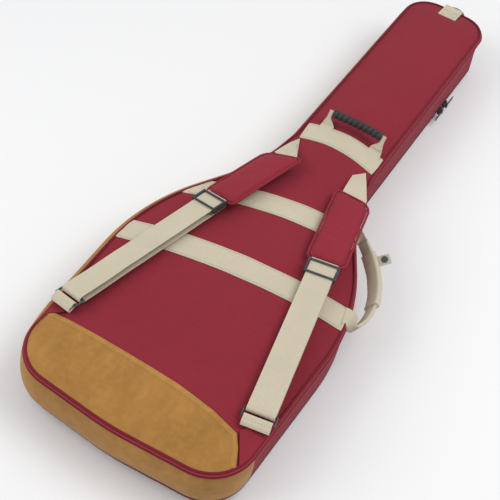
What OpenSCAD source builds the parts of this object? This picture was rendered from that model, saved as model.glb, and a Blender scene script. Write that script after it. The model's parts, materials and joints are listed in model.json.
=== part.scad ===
// Padded gig bag lying on its front, with the back panel and its straps up.
// +Y runs from the bottom end to the head end, +X is the side-handle side, +Z is up from the floor.
// The origin is on the floor, under the middle of the lower body. Lengths are in millimetres, and
// every y in the sections below is counted from the bottom end of the bag.

/* [Bag body] */
// Length from the bottom end to the head end
bag_l = 1060; // [1040:5:1080]
// Half width where the lower body is widest
body_hw = 182; // [180:1:184]
// Half width of the neck part
neck_hw = 72; // [70:1:74]
// Height of the back panel's seam above the floor
seam_z = 88; // [86:1:92]
// Thickness of the padded side walls
wall_t = 6; // [5:0.5:7]
// Rise of the back panel over its seam, along the neck
neck_crown = 12; // [8:1:12]
// Further rise of the back panel over the lower body
body_crown = 12; // [6:1:12]
// Height at which the main zip parts the bag
split_z = 15.5; // [15.5:0.5:17]
// Gap left between the two halves when they are shut
split_gap = 0.4; // [0.3:0.1:0.6]

/* [Trim] */
// Width of the piping cord that runs round both seams
piping_w = 5; // [4:0.5:5]
// Width of the sewn bands, straps and tabs of cotton webbing
webbing_w = 40; // [36:1:42]
// Thickness of one layer of webbing
webbing_t = 2; // [1.5:0.1:2]
// Highest point of the suede patch's straight edge
patch_y = 100; // [80:5:110]

/* [Shoulder straps] */
// Length of each shoulder pad
pad_l = 150; // [130:2:156]
// Width of each shoulder pad
pad_w = 58; // [50:1:60]
// Thickness of each shoulder pad
pad_t = 12; // [8:1:12]
// Turn of the left strap about its own length, inner edge up
left_roll = 16; // [0:2:16]
// Wire radius of the rings and bars
wire_r = 1.5; // [1:0.1:1.6]

/* [Handles] */
// Length of the ribbed grip on the top handle
grip_l = 88; // [80:2:96]
// Radius of the ribbed grip
grip_r = 7; // [6:0.5:8]
// Straight distance between the side handle's two ends
side_chord = 160; // [150:2:164]
// Depth of the side handle's loop
side_sag = 32; // [30:1:36]

/* [Pockets] */
// Thickness of the flat, empty front pockets
pocket_t = 6; // [6:0.5:7]

/* [Hidden] */

// Colours of the cloths, suede, webbing and metal.
wine = "#8c3040";
suede = "#a87a38";
webbing = "#cdc4aa";
lining = "#4a4a4e";
foam = "#d8d8d0";
metal = "#3a3c3e";
rubber = "#1c1c1e";

// The floor point under the middle of the lower body is the origin.
rest_y = 230;

// Levels of the front half, from the floor up.
fabric_t = 2;
front_foam_z = pocket_t + fabric_t;
front_lining_top = split_z - split_gap / 2 - 0.3;
front_lining_z = front_lining_top - 1;
front_piping_h = 3.5;
tape_h = 2.3;
lower_tape_top = split_z - split_gap / 2;
upper_tape_z = split_z + split_gap / 2;
gusset_z = upper_tape_z + tape_h;

// Levels of the back half.
panel_z = seam_z - fabric_t;
ceiling_z = seam_z - 11;
ceiling_t = 1.5;
foam_gap = 1.6;

// Distances in from the seam outline.
front_inset = 8;
rim_inset = 3;
tape_inset = 1;
foam_inset = wall_t + 1;

// Clearance under each layer that lies on the crowned back.
lay = 0.3;

// ---------------------------------------------------------------- outline
// Corners of the right half of the seam outline, each [x, y, corner radius].
half_corners = [
    [body_hw - 10, 12, 65],
    [body_hw, 338, 324],
    [86, 508, 324],
    [neck_hw, 607, 115],
    [neck_hw, bag_l - 5, 45]
];
bottom_centre = [0, 0, 0];
head_centre = [0, bag_l, 0];

function flat2(p) = [p[0], p[1]];
function unit(v) = v / norm(v);
function left_of(v) = [-v[1], v[0]];
function turned(v, a) = [v[0] * cos(a) - v[1] * sin(a), v[0] * sin(a) + v[1] * cos(a)];
function reversed(list) = [for (i = [len(list) - 1:-1:0]) list[i]];
function mirrored(list) = [for (p = list) [-p[0], p[1]]];

// Signed turn in degrees from direction u to direction v.
function turn(u, v) = atan2(u[0] * v[1] - u[1] * v[0], u * v);

// Corner b between a and c, moved d into the outline, as [x, y, radius].
function moved_corner(a, b, c, d) =
    let (u = unit(flat2(b) - flat2(a)), v = unit(flat2(c) - flat2(b)),
         nu = left_of(u), nv = left_of(v),
         p = flat2(b) + (nu + nv) * d / (1 + nu * nv))
    [p[0], p[1], turn(u, v) > 0 ? b[2] - d : b[2] + d];

// Points of the arc that rounds corner b.
function rounded_corner(a, b, c) =
    let (u = unit(flat2(b) - flat2(a)), v = unit(flat2(c) - flat2(b)),
         bend = turn(u, v), s = sign(bend), n = max(2, ceil(abs(bend) / 14)),
         start = flat2(b) - u * b[2] * tan(abs(bend) / 2),
         centre = start + left_of(u) * s * b[2])
    [for (i = [0:n]) centre + turned(start - centre, bend * i / n)];

// Right half of the outline, d inside the seam, from the bottom centre to the head centre.
function half_outline(d) =
    let (c = concat([[-half_corners[0][0], half_corners[0][1], 0], bottom_centre], half_corners,
                    [head_centre, [-neck_hw, bag_l - 5, 0]]),
         m = [for (i = [1:len(c) - 2]) moved_corner(c[i - 1], c[i], c[i + 1], d)],
         last = len(m) - 1)
    concat([flat2(m[0])],
           [for (i = [1:last - 1]) each rounded_corner(m[i - 1], m[i], m[i + 1])],
           [flat2(m[last])]);

function full_outline(half) =
    concat(half, reversed(mirrored([for (i = [1:len(half) - 2]) half[i]])));

// A closed shape mirrored about x = 0, from its rounded right-hand corners.
function mirrored_shape(corners) =
    let (left = reversed([for (c = corners) [-c[0], c[1], c[2]]]),
         all = concat(corners, left), n = len(all))
    [for (i = [0:n - 1]) each rounded_corner(all[(i + n - 1) % n], all[i], all[(i + 1) % n])];

// ---------------------------------------------------------------- crowned back
spine_low = 130;
spine_high = 990;
crown_y = 300;
crown_spread = 170;
rings_in = [1, 0.84, 0.6, 0.3];

function spine(p) = [0, min(max(p[1], spine_low), spine_high)];
function crown(y) = neck_crown + body_crown * exp(-pow((y - crown_y) / crown_spread, 2));

// One ring of the crowned surface: fraction k of the way out, dz above the fabric's underside.
function crown_ring(k, dz) =
    [for (p = full_outline(half_outline(foam_inset)))
        let (s = spine(p), q = s + k * (p - s))
        [q[0], q[1], panel_z + crown(s[1]) * (1 - k * k) + dz]];

function level_ring(d, z) = [for (p = full_outline(half_outline(d))) [p[0], p[1], z]];

// Closed solid through rings that each run anticlockwise, from the lower cap to the upper cap.
// Both caps are strips across the bag between a point and its mirror image.
module lofted(rings) {
    n = len(rings[0]);
    m = len(rings);
    half = n / 2;
    walls = [for (j = [0:m - 2], i = [0:n - 1])
        let (a = j * n + i, b = j * n + (i + 1) % n)
        each [[a, a + n, b + n], [a, b + n, b]]];
    function mate(i) = (n - i) % n;
    strips = [for (i = [0:half - 1])
        each (i == 0 ? [[0, 1, mate(1)]]
            : i == half - 1 ? [[i, i + 1, mate(i)]]
            : [[i, i + 1, mate(i + 1)], [i, mate(i + 1), mate(i)]])];
    upper = (m - 1) * n;
    polyhedron([for (r = rings) each r],
        concat(walls, strips, [for (f = strips) [upper + f[2], upper + f[1], upper + f[0]]]));
}

// A sheet that follows the crowned back, from low to high above the fabric's underside.
module crowned_sheet(low, high, edge) {
    lofted(concat(
        [for (k = reversed(rings_in)) crown_ring(k, low)],
        [level_ring(edge, panel_z + low), level_ring(edge, panel_z + high)],
        [for (k = rings_in) crown_ring(k, high)]));
}

// The part of a layer on the back that lies inside a flat shape.
module on_back(layer, thick) {
    low = fabric_t + lay + layer * (webbing_t + lay);
    intersection() {
        crowned_sheet(low, low + thick, piping_w / 2 + 0.5);
        translate([0, 0, seam_z - 10]) linear_extrude(60) children();
    }
}

// ---------------------------------------------------------------- shared solids
module placed() {
    translate([0, -rest_y, 0]) children();
}

module slab(d, low, high) {
    translate([0, 0, low]) linear_extrude(high - low) polygon(full_outline(half_outline(d)));
}

module band_ring(outer, inner, low, high) {
    difference() {
        slab(outer, low, high);
        slab(inner, low - 1, high + 1);
    }
}

module block(low, high) {
    translate(low) cube(high - low);
}

module rod(low, high, r) {
    v = high - low;
    translate(low) rotate([0, acos(v[2] / norm(v)), atan2(v[1], v[0])])
        cylinder(h = norm(v), r = r, $fn = 24);
}

// Stretch of the left side where the two halves stay sewn together, and how far the fold that
// each half carries stops short of the ends of that stretch.
hinge_low = 70;
hinge_high = 330;
hinge_inner_x = -120;
lower_fold_back = 0.3;
upper_fold_back = 6;
tape_inner = front_inset - 0.5;

module hinge_zone(back) {
    block([-body_hw - 20, hinge_low + back, 0], [hinge_inner_x, hinge_high - back, seam_z]);
}

// ---------------------------------------------------------------- front half
module front_panel() {
    color(wine) placed() slab(front_inset, pocket_t, front_foam_z);
}

module front_foam() {
    color(foam) placed() slab(front_inset, front_foam_z, front_lining_z);
}

module front_lining() {
    color(lining) placed() slab(front_inset, front_lining_z, front_lining_top);
}

module front_piping() {
    color(wine) placed()
        band_ring(rim_inset, front_inset, pocket_t, pocket_t + front_piping_h);
}

module front_rim() {
    color(wine) placed()
        band_ring(rim_inset, front_inset, pocket_t + front_piping_h, lower_tape_top - tape_h);
}

module zip_lower() {
    color(metal) placed() difference() {
        band_ring(tape_inset, tape_inner, lower_tape_top - tape_h, lower_tape_top);
        hinge_zone(0);
    }
}

module hinge_strip() {
    color(suede) placed() intersection() {
        band_ring(tape_inset, tape_inner, lower_tape_top - tape_h, lower_tape_top);
        hinge_zone(lower_fold_back);
    }
}

pocket_corners = [[154, 24, 50], [154, 330, 60], [108, 440, 40]];
neck_pocket_corners = [[56, 660, 14], [56, 1000, 22]];

module front_pocket() {
    color(wine) placed() linear_extrude(pocket_t) polygon(mirrored_shape(pocket_corners));
}

module neck_pocket() {
    color(wine) placed() linear_extrude(pocket_t) polygon(mirrored_shape(neck_pocket_corners));
}

pocket_zip_low = 84;
pocket_zip_high = 290;
neck_zip_low = 690;
neck_zip_high = 960;
pocket_zip_t = 1.2;

module side_zip(x, low, high) {
    block([x, low, 0.8], [x + pocket_zip_t, high, pocket_t - 0.8]);
}

module pocket_zip() {
    color(metal) placed() side_zip(pocket_corners[0][0], pocket_zip_low, pocket_zip_high);
}

module neck_pocket_zip() {
    color(metal) placed() side_zip(neck_pocket_corners[0][0], neck_zip_low, neck_zip_high);
}

// Foam block inside that carries the instrument's neck in its groove.
rest_w = 112;
rest_low = 700;
rest_high = 742;
rest_top = 46;
groove_w = 54;
groove_z = 30;

module neck_rest() {
    color(lining) placed() difference() {
        block([-rest_w / 2, rest_low, front_lining_top], [rest_w / 2, rest_high, rest_top]);
        translate([0, rest_low - 1, 0]) rotate([90, 0, 0]) mirror([0, 0, 1])
            linear_extrude(rest_high - rest_low + 2) polygon([
                [-groove_w / 2, rest_top + 1], [-groove_w / 2, groove_z + 8],
                [-groove_w / 2 + 10, groove_z], [groove_w / 2 - 10, groove_z],
                [groove_w / 2, groove_z + 8], [groove_w / 2, rest_top + 1]]);
    }
}

// ---------------------------------------------------------------- back half
module back_panel() {
    color(wine) placed() crowned_sheet(0, fabric_t, piping_w / 2);
}

module back_foam() {
    color(foam) placed() lofted(concat(
        [level_ring(foam_inset, ceiling_z)], [for (k = rings_in) crown_ring(k, -foam_gap)]));
}

module back_lining() {
    color(lining) placed() slab(foam_inset, ceiling_z - ceiling_t, ceiling_z);
}

module back_piping() {
    color(wine) placed() band_ring(-piping_w / 2, piping_w / 2, panel_z, panel_z + piping_w - 1);
}

// Ends of the wall panels, counted from the bottom end.
bottom_top_y = 75;
waist_y = 508;
head_y = 1005;

module wall() {
    band_ring(0, wall_t, gusset_z, panel_z);
}

module bottom_zone() {
    block([-body_hw - 20, -20, 0], [body_hw + 20, bottom_top_y, seam_z]);
}

module gusset_bottom() {
    color(suede) placed() intersection() {
        wall();
        bottom_zone();
    }
}

module gusset_left_body() {
    color(suede) placed() {
        intersection() {
            wall();
            block([-body_hw - 20, bottom_top_y, 0], [0, waist_y, seam_z]);
        }
        intersection() {
            band_ring(tape_inset, tape_inner, upper_tape_z, gusset_z + 0.5);
            hinge_zone(upper_fold_back);
        }
    }
}

module gusset_left_neck() {
    color(suede) placed() intersection() {
        wall();
        block([-body_hw, waist_y, 0], [0, head_y, seam_z]);
    }
}

module gusset_head() {
    color(wine) placed() intersection() {
        wall();
        block([-body_hw, head_y, 0], [body_hw, bag_l + 20, seam_z]);
    }
}

module gusset_right_neck() {
    color(wine) placed() intersection() {
        wall();
        block([0, waist_y, 0], [body_hw, head_y, seam_z]);
    }
}

module gusset_right_body() {
    color(wine) placed() difference() {
        intersection() {
            wall();
            block([0, -20, 0], [body_hw + 20, waist_y, seam_z]);
        }
        bottom_zone();
    }
}

module zip_upper() {
    color(metal) placed() difference() {
        band_ring(tape_inset, tape_inner, upper_tape_z, gusset_z);
        hinge_zone(upper_fold_back - 0.1);
    }
}

// ---------------------------------------------------------------- sewn trim on the back
module suede_patch() {
    color(suede) placed() on_back(0, 1.5) polygon([
        [-190, -10], [154, -10], [166, 42], [141, patch_y - 17], [-30, patch_y - 3],
        [-174, patch_y], [-190, patch_y]]);
}

// Flat shape of a webbing band from p to q.
module band_shape(p, q) {
    side = left_of(unit(q - p)) * webbing_w / 2;
    polygon([p - side, q - side, q + side, p + side]);
}

module lower_band() {
    color(webbing) placed() on_back(0, webbing_t) band_shape([-200, 277], [200, 331]);
}

module upper_band() {
    color(webbing) placed() on_back(0, webbing_t) band_shape([-160, 408], [130, 469]);
}

module neck_band() {
    color(webbing) placed() on_back(0, webbing_t) band_shape([-60, 619], [70.5, 620]);
}

module anchor_tab_left() {
    color(wine) placed() on_back(1, 1.5)
        polygon([[-152, 106], [-148, 122], [-190, 150], [-190, 62], [-172, 92]]);
}

module anchor_tab_right() {
    color(wine) placed() on_back(1, 1.5)
        polygon([[142, 88], [168, 46], [190, 40], [190, 122], [160, 114]]);
}

tab_w = 34;
tab_low = 1026;
tab_fold_y = bag_l + 4;
head_ring_z = seam_z - 9;
ring_rest = 88;

// A tab sewn to the back runs out over the head end's piping and hangs down to the ring's eye.
module head_tab() {
    eye_r = wire_r + 0.6;
    outer_r = eye_r + webbing_t;
    over_z = seam_z + 2.5;
    sewn_l = 30;
    step_y = tab_low + 22;
    end_y = tab_fold_y + outer_r;
    color(webbing) placed() {
        on_back(0, webbing_t) translate([-tab_w / 2, tab_low]) square([tab_w, sewn_l]);
        block([-tab_w / 2, step_y, over_z], [tab_w / 2, end_y, over_z + 2.5]);
        difference() {
            union() {
                block([-tab_w / 2, tab_fold_y, head_ring_z], [tab_w / 2, end_y, over_z + 1]);
                rod([-tab_w / 2, tab_fold_y, head_ring_z], [tab_w / 2, tab_fold_y, head_ring_z],
                    outer_r);
            }
            rod([-tab_w, tab_fold_y, head_ring_z], [tab_w, tab_fold_y, head_ring_z], eye_r);
            block([-tab_w, tab_low, 0], [tab_w, bag_l + 0.5, over_z - 0.1]);
        }
    }
}

module head_ring() {
    bar = tab_w / 2 + 3;
    color(rubber) placed() translate([0, tab_fold_y, head_ring_z]) rotate([ring_rest, 0, 0]) {
        rod([-bar, 0, 0], [bar, 0, 0], wire_r);
        rotate([-90, 0, 0]) rotate_extrude(angle = 180, $fn = 48)
            translate([bar, 0]) circle(r = wire_r, $fn = 24);
    }
}

// ---------------------------------------------------------------- shoulder straps
// Each strap has its own frame: u down its length from the pad's lower end, v across to the
// handle side, w away from the back.
strap_top = [[-87, 392, 117], [103, 379, 117]];
strap_foot = [[-157, 126, 106], [154, 116, 104]];
strap_roll = [left_roll, 0];
pad_pitch = [0, -2.5];
loop_gap = 3.4;
ring_bar = 6.5;

function strap_length(s) = norm(strap_foot[s] - strap_top[s]);
function strap_yaw(s) = let (v = strap_foot[s] - strap_top[s]) atan2(v[1], v[0]);
function strap_pitch(s) = asin((strap_top[s][2] - strap_foot[s][2]) / strap_length(s));

module strap_frame(s, pitch) {
    placed() translate(strap_top[s]) rotate([0, 0, strap_yaw(s)]) rotate([0, pitch, 0])
        rotate([strap_roll[s], 0, 0]) children();
}

module shoulder_pad(s) {
    r = 14;
    w = pad_w / 2;
    shape = [[-pad_l, -w, r], [0, -w, 8], [0, w, 8], [-pad_l, w, r]];
    color(wine) strap_frame(s, pad_pitch[s]) translate([0, 0, -pad_t / 2]) linear_extrude(pad_t)
        polygon([for (i = [0:3]) each rounded_corner(shape[(i + 3) % 4], shape[i],
                                                     shape[(i + 1) % 4])]);
}

module shoulder_pad_left() {
    shoulder_pad(0);
}

module shoulder_pad_right() {
    shoulder_pad(1);
}

// Ends of the slanting seam that holds each top strap down beside the neck.
top_seam = [[[-60, 596, 92.8], [-49, 571, 97]], [[47.5, 574, 96.8], [61, 595, 92.6]]];

// Webbing from the pad's upper end down to its seam on the back.
module top_strap(s) {
    start = -pad_l - webbing_t / 2 - 0.2;
    color(webbing) hull() {
        strap_frame(s, pad_pitch[s])
            rod([start, -webbing_w / 2, 0], [start, webbing_w / 2, 0], webbing_t / 2);
        placed() rod(top_seam[s][0], top_seam[s][1], webbing_t / 2);
    }
}

module top_strap_left() {
    top_strap(0);
}

module top_strap_right() {
    top_strap(1);
}

// Two layers of webbing joined by the turn that holds the ring's upper bar.
module lower_strap(s) {
    l = strap_length(s) - ring_bar;
    out = loop_gap + webbing_t;
    pad_clear = 1;
    color(webbing) strap_frame(s, strap_pitch(s)) difference() {
        union() {
            block([pad_clear, -webbing_w / 2, -out], [l, webbing_w / 2, out]);
            rod([l, -webbing_w / 2, 0], [l, webbing_w / 2, 0], out);
        }
        block([0, -webbing_w, -loop_gap], [l, webbing_w, loop_gap]);
        rod([l, -webbing_w, 0], [l, webbing_w, 0], loop_gap);
    }
}

module lower_strap_left() {
    lower_strap(0);
}

module lower_strap_right() {
    lower_strap(1);
}

// Rectangular wire ring between the strap's turn and the loop sewn to the bag.
module wire_ring(s) {
    half_w = webbing_w / 2 + 3;
    color(metal) strap_frame(s, strap_pitch(s)) translate([strap_length(s), 0, 0]) {
        for (u = [-ring_bar, ring_bar]) rod([u, -half_w, 0], [u, half_w, 0], wire_r);
        for (v = [-half_w, half_w]) {
            rod([-ring_bar, v, 0], [ring_bar, v, 0], wire_r);
            for (u = [-ring_bar, ring_bar]) translate([u, v, 0]) sphere(r = wire_r, $fn = 24);
        }
    }
}

module ring_left() {
    wire_ring(0);
}

module ring_right() {
    wire_ring(1);
}

// Short loop of webbing that holds the ring's lower bar, and its tail sewn to the anchor tab.
module ring_loop(s) {
    eye_r = wire_r + 0.3;
    outer_r = eye_r + webbing_t;
    tail = 14;
    tail_drop = 15;
    color(webbing) strap_frame(s, strap_pitch(s))
        translate([strap_length(s) + ring_bar, 0, 0]) rotate([0, tail_drop, 0]) difference() {
            union() {
                rod([0, -webbing_w / 2, 0], [0, webbing_w / 2, 0], outer_r);
                block([0, -webbing_w / 2, -outer_r], [tail, webbing_w / 2, 0]);
            }
            rod([0, -webbing_w, 0], [0, webbing_w, 0], eye_r);
        }
}

module ring_loop_left() {
    ring_loop(0);
}

module ring_loop_right() {
    ring_loop(1);
}

// Three-bar slide: two bars over the upper layer, one bar between the layers.
module triglide(s) {
    half_w = webbing_w / 2 + 1;
    half_u = 11;
    bar_u = 3;
    bar_h = 2.4;
    over = loop_gap + webbing_t + 0.4;
    start = 5;
    color(metal) strap_frame(s, strap_pitch(s)) translate([start + half_u + bar_u / 2, 0, 0]) {
        for (u = [-half_u, half_u])
            block([u - bar_u / 2, -half_w - bar_u, over],
                  [u + bar_u / 2, half_w + bar_u, over + bar_h]);
        for (v = [-half_w - bar_u, half_w])
            block([-half_u - bar_u / 2, v, -bar_h / 2],
                  [half_u + bar_u / 2, v + bar_u, over + bar_h]);
        block([-bar_u / 2, -half_w - bar_u, -bar_h / 2], [bar_u / 2, half_w + bar_u, bar_h / 2]);
    }
}

module triglide_left() {
    triglide(0);
}

module triglide_right() {
    triglide(1);
}

// ---------------------------------------------------------------- top handle
handle_x = 8;
handle_y = 644;
handle_z = seam_z + 12.5;
handle_reach = 22;
handle_lean = 50;
handle_foot_x = 44;

// Frame of the handle: x across, y from the pivot line to the grip.
module handle_frame() {
    placed() translate([handle_x, handle_y, handle_z]) rotate([handle_lean, 0, 0]) children();
}

// Two tapered tabs beside the grip, with a round foot each on the pivot line.
module top_handle_webbing() {
    foot_w = 20;
    foot_r = 1.6;
    top_w = 9;
    inner_x = grip_l / 2 + 0.6;
    neck_y = handle_reach - grip_r - 0.5;
    top_y = handle_reach + 4;
    color(webbing) handle_frame() for (s = [-1, 1]) scale([s, 1, 1]) {
        rod([handle_foot_x - foot_w / 2, 0, 0], [handle_foot_x + foot_w / 2, 0, 0], foot_r);
        translate([0, 0, -webbing_t / 2]) linear_extrude(webbing_t) polygon([
            [handle_foot_x - foot_w / 2, 0], [handle_foot_x + foot_w / 2, 0],
            [inner_x + top_w, top_y], [inner_x, top_y], [inner_x, neck_y]]);
    }
}

module top_handle_grip() {
    rib_n = 9;
    rib_w = 4;
    pitch = (grip_l - rib_w) / (rib_n - 1);
    color(rubber) handle_frame() translate([-grip_l / 2, handle_reach, 0]) rotate([0, 90, 0]) {
        cylinder(h = grip_l, r = grip_r - 1, $fn = 32);
        for (i = [0:rib_n - 1]) translate([0, 0, i * pitch])
            cylinder(h = rib_w, r = grip_r, $fn = 32);
    }
}

// ---------------------------------------------------------------- side handle
// The loop hangs from a chord beside the bag. Its frame: x away from the bag, y along the chord
// towards the head, z up, turned about the chord by the loop's lean.
side_mid = [154.5, 397];
side_angle = 22.8;
side_z = seam_z - 2;
side_lean = 34;
side_band_t = 6;
side_band_w = 20;

side_r = (pow(side_chord / 2, 2) + pow(side_sag, 2)) / (2 * side_sag);
side_half_angle = asin(side_chord / 2 / side_r);

module side_frame() {
    placed() translate([side_mid[0], side_mid[1], side_z]) rotate([0, 0, side_angle])
        rotate([0, side_lean, 0]) children();
}

// Arc of the loop between two angles, with a rectangular section.
module loop_arc(from, to, t, w) {
    translate([side_sag - side_r, 0, 0]) rotate([0, 0, from])
        rotate_extrude(angle = to - from, $fn = 96)
            translate([side_r - t / 2, -w / 2]) square([t, w]);
}

module side_loop() {
    color(webbing) side_frame()
        loop_arc(-side_half_angle, side_half_angle, side_band_t, side_band_w);
}

wrap_from = -12;
wrap_to = 34;
wrap_t = side_band_t + 4;
wrap_w = side_band_w + 6;
wrap_gap = 0.4;

module side_handle_wrap() {
    color(webbing) side_frame() difference() {
        loop_arc(wrap_from, wrap_to, wrap_t, wrap_w);
        loop_arc(wrap_from - 4, wrap_to + 4, side_band_t + wrap_gap, side_band_w + wrap_gap);
    }
}

// Loose end of the wrap, standing out from it with one half of the snap.
flap_at = 27;
flap_rise = 50;
flap_l = 17;
flap_w = 16;
flap_t = 2.5;

module flap_frame() {
    side_frame() translate([side_sag - side_r, 0, 0])
        rotate([0, 0, flap_at]) translate([side_r + wrap_t / 2 + 2, 0, wrap_w / 2 - 2])
            rotate([0, -flap_rise, 0]) children();
}

module snap_flap() {
    color(webbing) flap_frame() difference() {
        union() {
            rod([0, -flap_w / 2, 0], [0, flap_w / 2, 0], flap_t / 2);
            block([0, -flap_w / 2, -flap_t / 2], [flap_l, flap_w / 2, flap_t / 2]);
        }
        translate([flap_l - 9, 0, -3]) cylinder(h = 6, r = 2.2, $fn = 32);
    }
}

module snap_cap() {
    color(metal) flap_frame() translate([flap_l - 9, 0, 0]) {
        translate([0, 0, -flap_t / 2 - 1.2]) cylinder(h = flap_t + 2.4, r = 2.2, $fn = 32);
        translate([0, 0, flap_t / 2]) cylinder(h = 1.6, r = 5, $fn = 32);
        translate([0, 0, -flap_t / 2 - 1.6]) cylinder(h = 1.6, r = 4, $fn = 32);
    }
}

// ---------------------------------------------------------------- zip sliders
// A slider stands on the wall at x, with its pull on an upright pin. The sizes are the slider's
// height and its length along the zip.
pin_out = 2.2;
pin_r = 0.9;
eye_gap = 0.3;

module zip_slider(x, y, z, h, l, t) {
    lug = 1.2;
    color(metal) placed() translate([x, y, z]) {
        block([0, -l / 2, -h / 2], [t, l / 2, h / 2]);
        for (s = [-1, 1]) hull() {
            translate([t - 0.5, 0, s * (h / 2 - lug / 2)]) cube([1, 4, lug], center = true);
            translate([t + pin_out, 0, s * (h / 2 - lug / 2)])
                cylinder(h = lug, r = 1.8, center = true, $fn = 32);
        }
        translate([t + pin_out, 0, 0]) cylinder(h = h - lug, r = pin_r, center = true, $fn = 32);
    }
}

module zip_pull(x, y, z, h, l, t) {
    lug = 1.2;
    eye_h = h - 2 * lug - 2 * eye_gap;
    eye_r = pin_r + 0.1;
    color(metal) placed() translate([x + t + pin_out, y, z]) difference() {
        union() {
            cylinder(h = eye_h, r = pin_r + 1, center = true, $fn = 32);
            block([-0.7, -l, -eye_h / 2], [0.7, 0, eye_h / 2]);
        }
        cylinder(h = eye_h + 2, r = eye_r, center = true, $fn = 32);
    }
}

main_x = neck_hw + 0.5;
main_slider_h = 9;
main_slider_l = 13;
main_slider_t = 4;
main_pull_l = 26;
main_upper_y = 905;
main_lower_y = 885;

module main_slider_upper() {
    zip_slider(main_x, main_upper_y, split_z, main_slider_h, main_slider_l, main_slider_t);
}

module main_slider_lower() {
    zip_slider(main_x, main_lower_y, split_z, main_slider_h, main_slider_l, main_slider_t);
}

module main_pull_upper() {
    color(metal) translate([0, 2 * (main_upper_y - rest_y), 0]) mirror([0, 1, 0])
        zip_pull(main_x, main_upper_y, split_z, main_slider_h, main_pull_l, main_slider_t);
}

module main_pull_lower() {
    zip_pull(main_x, main_lower_y, split_z, main_slider_h, main_pull_l, main_slider_t);
}

small_slider_h = 4.6;
small_slider_l = 9;
small_slider_t = 2.5;
small_pull_l = 18;
small_z = 3;
pocket_slider_x = pocket_corners[0][0] + pocket_zip_t + 0.4;
pocket_slider_y = 280;
neck_slider_x = neck_pocket_corners[0][0] + pocket_zip_t + 0.4;
neck_slider_y = 950;

module pocket_slider() {
    zip_slider(pocket_slider_x, pocket_slider_y, small_z, small_slider_h, small_slider_l,
               small_slider_t);
}

module pocket_pull() {
    zip_pull(pocket_slider_x, pocket_slider_y, small_z, small_slider_h, small_pull_l,
             small_slider_t);
}

module neck_pocket_slider() {
    zip_slider(neck_slider_x, neck_slider_y, small_z, small_slider_h, small_slider_l,
               small_slider_t);
}

module neck_pocket_pull() {
    zip_pull(neck_slider_x, neck_slider_y, small_z, small_slider_h, small_pull_l,
             small_slider_t);
}

front_panel();
front_foam();
front_lining();
front_piping();
front_rim();
zip_lower();
hinge_strip();
front_pocket();
pocket_zip();
neck_pocket();
neck_pocket_zip();
neck_rest();
back_panel();
back_foam();
back_lining();
back_piping();
gusset_bottom();
gusset_left_body();
gusset_left_neck();
gusset_head();
gusset_right_neck();
gusset_right_body();
zip_upper();
suede_patch();
lower_band();
upper_band();
neck_band();
anchor_tab_left();
anchor_tab_right();
ring_loop_left();
ring_loop_right();
shoulder_pad_left();
shoulder_pad_right();
top_strap_left();
top_strap_right();
lower_strap_left();
lower_strap_right();
head_tab();
top_handle_webbing();
top_handle_grip();
ring_left();
ring_right();
triglide_left();
triglide_right();
side_loop();
side_handle_wrap();
snap_flap();
snap_cap();
head_ring();
main_slider_upper();
main_slider_lower();
main_pull_upper();
main_pull_lower();
pocket_slider();
pocket_pull();
neck_pocket_slider();
neck_pocket_pull();
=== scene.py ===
"""Looks of the padded gig bag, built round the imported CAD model.

Lengths are in millimetres and every y is counted from the bottom end of the bag, as in the CAD
source, until row() turns points into the frame's metres.
"""
import json
import math

import bpy
import numpy as np
from mathutils import Matrix, Vector
from mathutils.bvhtree import BVHTree

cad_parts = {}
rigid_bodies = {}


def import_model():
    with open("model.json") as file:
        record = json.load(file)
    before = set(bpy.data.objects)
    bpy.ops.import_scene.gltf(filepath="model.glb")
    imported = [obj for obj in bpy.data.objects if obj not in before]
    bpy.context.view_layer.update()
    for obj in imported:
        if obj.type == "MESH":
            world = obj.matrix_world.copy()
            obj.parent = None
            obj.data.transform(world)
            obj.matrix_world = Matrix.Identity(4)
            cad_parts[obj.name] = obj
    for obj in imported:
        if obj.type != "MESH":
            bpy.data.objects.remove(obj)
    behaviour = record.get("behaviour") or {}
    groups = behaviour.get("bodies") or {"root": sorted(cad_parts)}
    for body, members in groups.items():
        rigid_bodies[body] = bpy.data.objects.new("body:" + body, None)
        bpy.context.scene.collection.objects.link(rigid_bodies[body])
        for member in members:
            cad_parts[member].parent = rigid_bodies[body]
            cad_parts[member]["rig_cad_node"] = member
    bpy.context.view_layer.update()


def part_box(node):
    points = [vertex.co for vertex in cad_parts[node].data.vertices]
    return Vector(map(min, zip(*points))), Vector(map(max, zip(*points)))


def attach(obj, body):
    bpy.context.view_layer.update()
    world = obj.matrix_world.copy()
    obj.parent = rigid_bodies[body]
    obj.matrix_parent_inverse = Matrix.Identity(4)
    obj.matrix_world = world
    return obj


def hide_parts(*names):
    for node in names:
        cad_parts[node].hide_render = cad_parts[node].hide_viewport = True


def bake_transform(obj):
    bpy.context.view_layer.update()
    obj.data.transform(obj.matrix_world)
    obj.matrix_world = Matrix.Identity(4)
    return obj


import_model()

REST_Y = 230.0
SCENE = bpy.context.scene


def row(points):
    """Design millimetres to the frame's metres."""
    return (np.asarray(points, float) - (0, REST_Y, 0)) / 1000


def node_box(node):
    """Lowest and highest corner of a CAD node in design millimetres."""
    low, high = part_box(node)
    return [np.array(c) * 1000 + (0, REST_Y, 0) for c in (low, high)]


# ------------------------------------------------------------------ driving dimensions
BAG_L = node_box("back_piping")[1][1] - 2.5
PANEL_Z = node_box("back_piping")[0][2]
SEAM_Z = PANEL_Z + 2
GUSSET_LOW = node_box("gusset_head")[0][2]
FRONT_Z = node_box("front_panel")[0][2]
WEB_W = 40.0
WEB_T = 1.8
PAD_T = 12.0

# The seam outline's corners on the handle side, each x, y and corner radius.
HALF_CORNERS = [(172, 12, 65), (182, 338, 324), (86, 508, 324), (72, 607, 115), (72, BAG_L - 5, 45)]
END_RADIUS = 420


# ------------------------------------------------------------------ camera, light and floor
def unit(v):
    v = np.asarray(v, float)
    return v / np.linalg.norm(v)


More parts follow.
